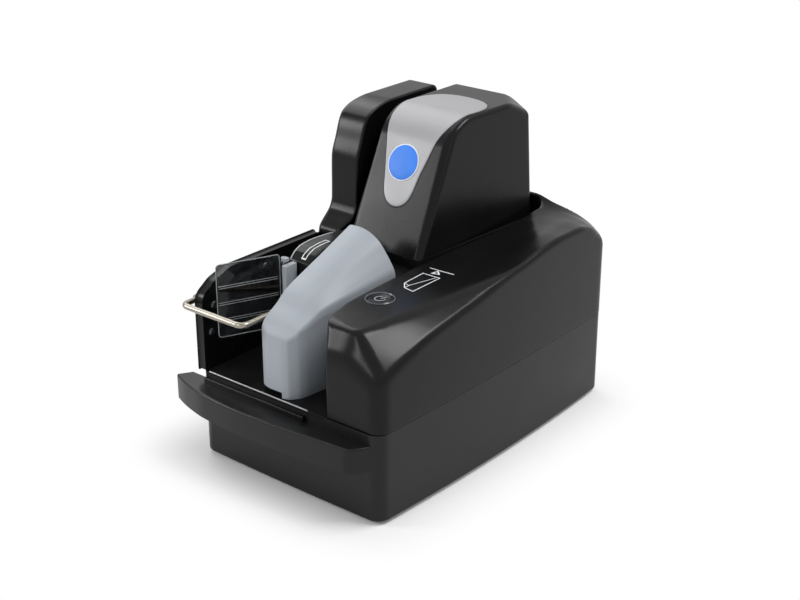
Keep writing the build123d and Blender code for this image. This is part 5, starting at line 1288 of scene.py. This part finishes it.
@dataclass
class DividerHood:
    """Grey hood between the pockets: upright left side, rounded right shoulder, lifted nose."""

    left: float = -24.4
    low: float = 61.4
    rear: float = -33.0
    wall: float = 2.2
    crest: Curve = Curve((-122, -116, -112.4, -103.2, -94.7, -79.8, -64.6, -48.2, -33.0),
                         (103.0, 106.6, 110.0, 115.6, 122.2, 128.8, 135.0, 141.9, 148.4))
    right: Curve = Curve((-124, -119.5, -112, -104, -33), (0.5, 1.5, 5.4, 6.2, 15.2))
    nose: Curve = Curve((-26.0, -24.4, -20.0, -14.0, -6.0, 0.0, 4.0, 6.5),
                        (-112.0, -116.2, -119.6, -121.0, -120.9, -119.4, -115.6, -108.0))
    drop: Curve = Curve((-113, -104, -95, -80, -33), (3.0, 5.0, 9.0, 15.0, 31.0))
    shoulder: Curve = Curve((0.0, 0.04, 0.10, 0.24, 0.41, 0.53, 0.66, 0.78, 0.91, 0.97, 1.0),
                            (0.06, 0.02, 0.004, 0.0, 0.035, 0.10, 0.20, 0.38, 0.61, 0.76, 1.0))
    crest_share: float = 0.78           # distance per mm of height over the sloping crest
    nose_share: float = 0.9             # and per mm of depth before the curved nose
    side_round: float = 0.6
    nose_round: float = 2.0
    rear_round: float = 0.5
    crest_round: float = 1.6
    lifted: tuple = ((-34.4, -140.0), (-4.5, -95.0), 56.4, 65.4)     # room under the lifted nose

    def shape(self, points: np.ndarray) -> np.ndarray:
        """Distance to the hood: inside its plan, under its curved top.

        The top falls from the crest by the drop, times the shoulder's share at that place across.
        """
        x, y, z = points[..., 0], points[..., 1], points[..., 2]
        right = self.right(y)
        across = (x - self.left) / (right - self.left)
        top = self.crest(y) - self.drop(y) * self.shoulder(across)
        plan = rounded_max(x - right, self.left - x, self.side_round)
        plan = rounded_max(plan, (self.nose(x) - y) * self.nose_share, self.nose_round)
        plan = rounded_max(plan, y - self.rear, self.rear_round)
        return rounded_max(plan, (z - top) * self.crest_share, self.crest_round)

    @property
    def cage(self) -> Cage:
        """Rays from an upright core in the wide part, leaning towards the high rear."""
        core = ((-11, -106), (-11, -106), (-11, -100), (-8, -60), (-5, -42), (-5, -42), (-5, -42))
        right = ((-11, -150), (40, -150), (50, -100), (50, -60), (50, -42), (50, 0), (-5, 0))
        left = ((-11, -150), (-60, -150), (-60, -100), (-60, -60), (-60, -42), (-60, 0), (-5, 0))
        return Cage(core, right, left, self.low, 96.0, 190.0)

    def build(self) -> None:
        """Makes the hood, its lifted nose and the window of the feed roller."""
        hood = placed(moulding(self.shape, self.cage, self.wall, around=260, over=130), "grey_divider_hood",
                      "frame", "hood_grey", "divider_hood")
        near, far, low, high = self.lifted
        cut_away(hood, prism(rectangle(near, far), low, high), roller_window("feed_roller"))


# ---------------------------------------------------------------- tray, wall and small parts
@dataclass
class FrontTray:
    """Bowed tray along the front, with a wing past the left side and a lip at its rear."""

    front: Curve = Curve((-95.0, -93.0, -75.0, -56.0, -25.0, 0.0, 25.0, 50.0, 70.0),
                         (-127.0, -128.2, -135.0, -138.9, -140.6, -140.0, -138.2, -135.9, -133.6))
    front_share: float = 0.97           # distance per mm of depth before the bowed front
    ends: tuple = (                     # slanted ends: a place, the way that each faces, and its rounding
        ((-93.0, -128.0, 0.0), (-9.5, 6.0, 0.0), 1.4),
        ((64.6, -131.9, 0.0), (5.1, -2.6, 0.0), 2.0),
        ((66.0, -129.4, 0.0), (7.0, -7.4, 0.0), 1.6),
    )
    rear: float = -118.6
    rear_round: float = 0.6
    low: float = 37.0
    top: float = 54.0
    top_round: float = 1.5
    wall: float = 2.5
    strips: tuple = (   # name, slot, finish, two corners in plan, foot, top, and radii in plan and of the rim
        ("tray_lip", "housing_black", None, (-69.5, -125.9), (17.3, -121.0), 50.0, 57.6, 0.8, 0.8),
        # The second strip is a painted highlight: a pale line along the deck's rounded front edge.
        ("deck_front_highlight", "ring_grey", Kind.EDGE, (-67.4, -122.9), (18.8, -122.2), 60.9, 61.6, 0.2, 0.15),
    )

    def shape(self, points: np.ndarray) -> np.ndarray:
        """Distance to the tray: its plan under its top, with rounded edges."""
        x, y, z = points[..., 0], points[..., 1], points[..., 2]
        plan = (self.front(x) - y) * self.front_share
        for place, way, rounding in self.ends:
            plan = rounded_max(plan, beyond(points, place, way), rounding)
        plan = rounded_max(plan, y - self.rear, self.rear_round)
        return rounded_max(plan, z - self.top, self.top_round)

    @property
    def cage(self) -> Cage:
        """Rays from a core that runs along the tray."""
        core = ((-84, -124), (-84, -124), (-60, -128), (-20, -129), (30, -128), (60, -125), (64, -123),
                (64, -123))
        right = ((-110, -124), (-110, -145), (-62, -160), (-20, -160), (30, -160), (62, -160), (90, -150),
                 (90, -123))
        left = ((-110, -124), (-96, -105), (-60, -105), (-20, -105), (30, -105), (60, -105), (90, -105),
                (90, -123))
        return Cage(core, right, left, self.low, 46.0, 70.0)

    def build(self) -> None:
        """Makes the tray, its lip and the painted highlight along the deck's front edge."""
        placed(moulding(self.shape, self.cage, self.wall, around=300, over=90), "bowed_front_tray", "frame",
               "housing_black", "front_tray", finish=Kind.BASE)
        for name, slot, finish, near, far, foot, top, corner, rim in self.strips:
            strip = cushion(bent(rectangle(near, far), corner), foot, top, rim)
            placed(strip, name, "frame", slot, finish=finish)


def upright_side(outline: np.ndarray, faces: tuple[float, float], rims: tuple[float, float]) -> Skin:
    """Cushion that stands on its side: its outline is in Y and Z, and its faces look along X.

    Args:
        outline: corners in Y and Z. An anticlockwise one has its rims rounded off; a clockwise one has
            them standing out instead, and its faces look inwards.
        faces: places of the left and the right face.
        rims: radii of the right and the left rim.

    Returns:
        The closed skin.
    """
    skin = cushion(outline, *faces, *rims)
    return Skin(skin.points[:, [2, 0, 1]], skin.faces)


@dataclass
class OuterWall:
    """Outer wall of the exit pocket: a sloping front end, a rounded top and three screws."""

    profile: tuple = ((-11.0, 61.4), (-11.0, 124.4), (-98.0, 124.4), (-111.5, 120.2), (-123.0, 112.5),
                      (-123.0, 61.4))
    bends: tuple = (1.5, 3.0, 9.0, 9.0, 9.0, 0.4)       # radius at each corner of the profile
    faces: tuple = (-76.0, -69.5)
    rims: tuple = (0.9, 1.1)            # how far the right and the left rim stand out
    screws: tuple = ((-113.5, 104.6), (-116.6, 86.6), (-66.0, 115.0))
    head: tuple = ((0, 0), (2.6, 0), (2.6, 0.3), (2.236, 0.7), (1.3, 1.1), (0, 1.2))
    head_root: float = 0.05             # how far the heads reach into the wall
    recess: tuple = (0.4, 1.7, 0.7, 4.0)                # half width, half length, floor and top

    def build(self) -> None:
        """Makes the wall and its screws, each with a cross in its head.

        The outline is turned to run clockwise, which makes the rims stand out, so the faces are turned too.
        """
        outline = bent(self.profile, np.array(self.bends)[:, None])[::-1]
        placed(upright_side(outline, self.faces, self.rims).turned(), "exit_pocket_wall", "frame",
               "housing_black", "outer_wall")
        width, length, floor, top = self.recess
        slots = [prism(rectangle((-a, -b), (a, b)), floor, top)
                 for a, b in ((width, length), (length, width))]
        head = turned_profile(np.array(self.head), (0.0, 0.0), 48)
        for number, (y, z) in enumerate(self.screws):
            lay = ((self.faces[1] - self.head_root, y, z), (0, 1, 0), (0, 0, 1))
            nodes = ("wall_screws",) if number == 0 else ()
            made = placed(head.laid(*lay), f"wall_screw_{number + 1}", "frame", "screw_steel", *nodes)
            cut_away(made, *[slot.laid(*lay) for slot in slots])


@dataclass
class FeederBlock:
    """Black block behind the flap: its curved top carries a painted highlight along its left edge and a
    printed strip.
    """

    faces: tuple = (-43.2, -24.5)
    profile: tuple = ((-71.0, 61.4), (-14.1, 61.4), (-14.1, 134.0), (-25.0, 135.6), (-37.0, 137.0),
                      (-51.0, 137.6), (-60.0, 136.9), (-66.0, 134.6), (-71.0, 129.4))
    bend: float = 3.0
    rims: tuple = (1.2, 1.2)
    crest: Curve = Curve((-71.5, -70.0, -66.0, -60.0, -51.0, -37.0, -25.0, -14.0),
                         (128.6, 131.0, 134.5, 136.8, 137.6, 137.0, 135.6, 134.0))
    bridge: tuple = ((-25.5, -32.5), (15.1, -32.5), (17.6, -14.2), (-25.5, -14.2))
    bridge_top: float = 120.0
    bridge_rim: float = 0.8
    guide: tuple = (-28.2, -71.0, 106.5)            # front end of the wire's guide
    guide_ring: tuple = ((2.1, -1.4), (3.2, -1.4), (3.2, 0.5), (2.1, 0.5), (2.1, -1.4))
    strip: tuple = ((-33.4, -69.0), (-30.2, -69.0), (-30.2, -46.0), (-33.4, -46.0))
    strip_width: float = 0.55
    edge: tuple = ((-41.7, -70.6), (-41.7, -30.0))  # ends of the painted highlight along the top's left edge
    highlight_width: float = 0.9
    post: tuple = ((-39.0, -81.9), (-35.2, -71.7), 61.4, 129.6)
    post_rounds: tuple = (0.7, 0.5)
    pin: tuple = (-41.6, -77.0)
    ear_radius: float = 1.85
    ear_rear: float = -38.6             # where the ears run into the post
    ear_height: float = 2.4
    ear_rim: float = 0.2
    ears: tuple = (83.4, 130.7)

    def top(self, x: np.ndarray, y: np.ndarray) -> np.ndarray:
        """Height of the block's top, which is the same all the way across."""
        return self.crest(y)

    def build(self) -> None:
        """Makes the block, its guide for the wire, the printed strip and the painted edge highlight on its
        top, and the post of the flap.
        """
        placed(upright_side(bent(self.profile, self.bend), self.faces, self.rims), "feeder_block_cover",
               "frame", "housing_black", "feeder_block")
        placed(cushion(np.array(self.bridge), PARTING_Z, self.bridge_top, self.bridge_rim), "feeder_bridge",
               "frame", "housing_black")
        collar = turned_profile(np.array(self.guide_ring), (0.0, 0.0), 48)
        placed(collar.laid(self.guide, (1, 0, 0), (0, 0, 1)), "wire_guide_rim", "frame", "housing_black")
        placed(ribbon(np.array(self.strip), self.strip_width, self.top, closed=True), "feeder_strip", "frame",
               "post_grey", finish=Kind.RIM)
        # A pale grey line along the top's left edge: a painted highlight on the rounded edge.
        placed(ribbon(np.linspace(*self.edge, 40), self.highlight_width, self.top, closed=False), "feeder_edge_highlight",
               "frame", "post_grey")
        near, far, foot, top = self.post
        corner, rim = self.post_rounds
        placed(cushion(bent(rectangle(near, far), corner), foot, top, rim), "flap_hinge_post", "frame",
               "post_grey", "flap_post")
        x, y = self.pin
        for level in self.ears:
            root = [(self.ear_rear, y - self.ear_radius), (self.ear_rear, y + self.ear_radius)]
            ear = np.vstack([circle((x, y), self.ear_radius, 32)[8:25], root])
            placed(cushion(ear, level, level + self.ear_height, self.ear_rim, self.ear_rim),
                   f"flap_ear_{int(level)}", "frame", "post_grey")


@dataclass
class ExitFlap:
    """Clear flap: a thin plate with rounded corners, pairs of fine ribs and the knuckle of its pin."""

    pin: tuple = (-41.6, -77.0)
    angle: float = 24.0                 # degrees from -Y, towards the outer wall
    inner: tuple = (1.2, 3.2)           # inner edge below the step to the knuckle, and above it
    length: float = 46.0
    low: float = 86.0
    high: float = 135.6
    knuckle_top: float = 130.5
    knuckle: tuple = (1.06, 1.9)        # radii of its bore and its outside
    bend: float = 2.6
    half: float = 0.8                   # half thickness
    rim: float = 0.3
    bead: tuple = (3.0, 0.34, 8)        # painted highlight round the edge: where it starts, radius and sides
    ribs: tuple = (97.4, 108.6, 119.8)
    pitch: float = 0.75                 # of the two ridges of a rib, from its middle
    ridge: tuple = (4.5, 44.8, 0.16, 0.1)           # start, end, half width and rounding of a ridge
    ridge_levels: tuple = (-0.1, 0.3)   # its foot and top, over the face of the plate

    def build(self) -> None:
        """Makes the plate, the painted highlight that runs round its edge, the ribs, which carry painted
        highlights, and the knuckle.
        """
        turn = np.radians(self.angle)
        lay = ((*self.pin, 0.0), (-np.sin(turn), -np.cos(turn), 0.0), (0, 0, 1))
        corners = ((self.inner[0], self.low), (self.length, self.low), (self.length, self.high),
                   (self.inner[1], self.high), (self.inner[1], self.knuckle_top),
                   (self.inner[0], self.knuckle_top))
        outline = bent(corners, self.bend)
        plate = cushion(outline, -self.half, self.half, self.rim, self.rim)
        placed(plate.laid(*lay), "clear_exit_flap", "exit_flap", "clear_plastic", "exit_flap")
        start, radius, sides = self.bead
        line = outline[outline[:, 0] > start]
        flat = Skin(np.column_stack([line, np.zeros(len(line))]), np.zeros((0, 4), int))
        bead = tube(flat.laid(*lay).points, radius, np.cross(lay[1], lay[2]), sides, closed=True)
        # The pale bead round the edge and the pale finish of the ribs are painted highlights.
        placed(bead, "flap_edge_glint", "exit_flap", "clear_plastic", finish=Kind.PAINTED_GLINT)
        placed(self.ridges().laid(*lay), "flap_ribs", "exit_flap", "clear_plastic", finish=Kind.PAINTED_GLINT)
        bore, outside = self.knuckle
        ring = [(bore, self.low), (outside, self.low), (outside, self.knuckle_top), (bore, self.knuckle_top),
                (bore, self.low)]
        placed(turned_profile(np.array(ring), self.pin, 48), "flap_knuckle", "exit_flap", "clear_plastic")

    def ridges(self) -> Skin:
        """All the fine ridges of the ribs, in pairs, on the plate's own axes."""
        near, far, half, rounding = self.ridge
        foot, top = (self.half + level for level in self.ridge_levels)
        middles = [z + step for z in self.ribs for step in (-self.pitch, self.pitch)]
        skins = [cushion(bent(rectangle((near, z - half), (far, z + half)), rounding, 3), foot, top, rounding)
                 for z in middles]
        return sum(skins[1:], skins[0])


@dataclass
class WireStop:
    """Bent nickel wire in front of the exit pocket, and the sleeve on the outer wall that it slides in."""

    left: float = -81.4
    right: float = -28.2
    front: float = -129.6
    rear: float = -33.6
    height: float = 106.5
    bend: float = 4.6
    radius: float = 2.0
    sleeve: tuple = (-118.0, -92.0, 2.12, 3.3)      # ends, bore and radius
    sleeve_edge: float = 0.4
    web: tuple = ((-78.4, -117.0), (-75.9, -93.0))  # between the sleeve and the wall
    web_half: float = 2.2
    web_rounds: tuple = (0.5, 0.4)

    def build(self) -> None:
        """Makes the wire along its rounded path, and the sleeve with its web."""
        turn = np.linspace(0, np.pi / 2, 24)
        arc = self.bend * np.stack([np.cos(turn), -np.sin(turn)], -1)
        low = self.front + self.bend
        path = np.vstack([(self.left, self.rear), (self.left + self.bend, low) + arc * (-1, 1),
                          (self.right - self.bend, low) + arc[::-1], (self.right, self.rear)])
        path = np.column_stack([path, np.full(len(path), self.height)])
        wire = tube(path, self.radius, (0, 0, 1), 32, closed=False)
        placed(wire, "bent_wire_stop", "wire_stop", "nickel_wire", "wire_stop")
        near, far, bore, radius = self.sleeve
        edge = self.sleeve_edge
        ring = np.array([(bore, near), (radius - edge, near), (radius, near + edge), (radius, far - edge),
                         (radius - edge, far), (bore, far), (bore, near)])
        sleeve = turned_profile(ring, (0.0, 0.0), 64)
        placed(sleeve.laid((self.left, 0.0, self.height), (0, 0, 1), (1, 0, 0)), "wire_sleeve", "frame",
               "nickel_wire", "wire_collar")
        corner, rim = self.web_rounds
        web = cushion(bent(rectangle(*self.web), corner), self.height - self.web_half,
                      self.height + self.web_half, rim, rim)
        placed(web, "wire_sleeve_web", "frame", "zinc_steel")


@dataclass
class PowerButton:
    """Round push button in a low ring, with a generic sign on its cap, and the loading diagram."""

    centre: tuple = (32.4, -69.5)
    level: float = 122.7                # top of the ring; the profiles' heights count from it
    ring: tuple = ((8.55, -6.0), (9.8, -6.0), (9.8, -0.3), (9.5, 0.0), (8.9, 0.0), (8.55, -0.5), (8.55, -6.0))
    cap: tuple = ((0.0, -6.2), (8.3, -6.2), (8.3, -0.9), (7.5, -0.3), (6.4, -0.35), (5.6, -0.7), (0.0, -0.75))
    dish: float = -0.7                  # level of the sign on the cap
    sign_turn: float = 62.0             # degrees that the sign is turned by
    sign_arc: tuple = (38.0, 322.0, 40, 3.4)        # from, to, points and radius
    sign_mark: tuple = (0.4, 4.4)       # ends of its upright
    sign_width: float = 0.75
    sign_lift: float = 0.2
    diagram: tuple = (                  # name, width of the line, whether it is closed, and its corners
        ("slip_diagram", 0.6, True,
         ((30.3, -43.3), (30.4, -24.6), (44.0, -24.8), (42.5, -49.9), (34.6, -48.5))),
        ("slip_fold", 0.4, False, ((30.3, -43.3), (34.9, -44.6), (34.6, -48.5))),
        ("slip_face_line", 0.4, False, ((34.9, -44.6), (41.6, -25.8))),
        ("slip_stop_line", 0.6, False, ((28.7, -15.4), (48.3, -15.6))),
        ("slip_arrow", 0.9, True, ((35.1, -21.4), (36.4, -17.0), (40.0, -20.4))),
    )

    def top(self, x: np.ndarray, y: np.ndarray) -> np.ndarray:
        """Height of the cap, which is level under the sign."""
        return np.full_like(x, self.level + self.dish)

    def build(self) -> None:
        """Makes the ring, the cap, the sign on it and the diagram on the cover beside it."""
        for name, body, slot, node, profile in (
                ("button_ring", "frame", "ring_grey", "button_bezel", self.ring),
                ("button_cap", "power_button", "housing_black", "power_button", self.cap)):
            placed(turned_profile(np.array(profile) + (0, self.level), self.centre), name, body, slot, node)
        lean = np.radians(self.sign_turn)
        start, end, count, radius = self.sign_arc
        turn = np.radians(np.linspace(start, end, count)) + lean
        arc = self.centre + radius * np.stack([np.cos(turn), np.sin(turn)], -1)
        mark = self.centre + np.array(self.sign_mark)[:, None] * (np.cos(lean), np.sin(lean))
        for name, path in (("power_sign", arc), ("power_mark", mark)):
            placed(ribbon(path, self.sign_width, self.top, closed=False, lift=self.sign_lift), name,
                   "power_button", "ring_grey", finish=Kind.PRINT)
        for name, width, closed, corners in self.diagram:
            line = ribbon(np.array(corners), width, MainCover.relief, closed)
            placed(line, name, "frame", "post_grey", finish=Kind.RIM)


def main() -> None:
    """Builds the studio and the scanner, piece by piece, and notes the sizes."""
    logging.basicConfig(level=logging.INFO, format="%(message)s")
    dress_frame()
    Studio().build()
    for assembly in (CentreTower(), MainCover(), OuterTower(), DividerHood(), FrontTray(), OuterWall(),
                     FeederBlock(), ExitFlap(), WireStop(), PowerButton()):
        assembly.build()
        log.info("%s is done", type(assembly).__name__)


if __name__ == "__main__":
    main()
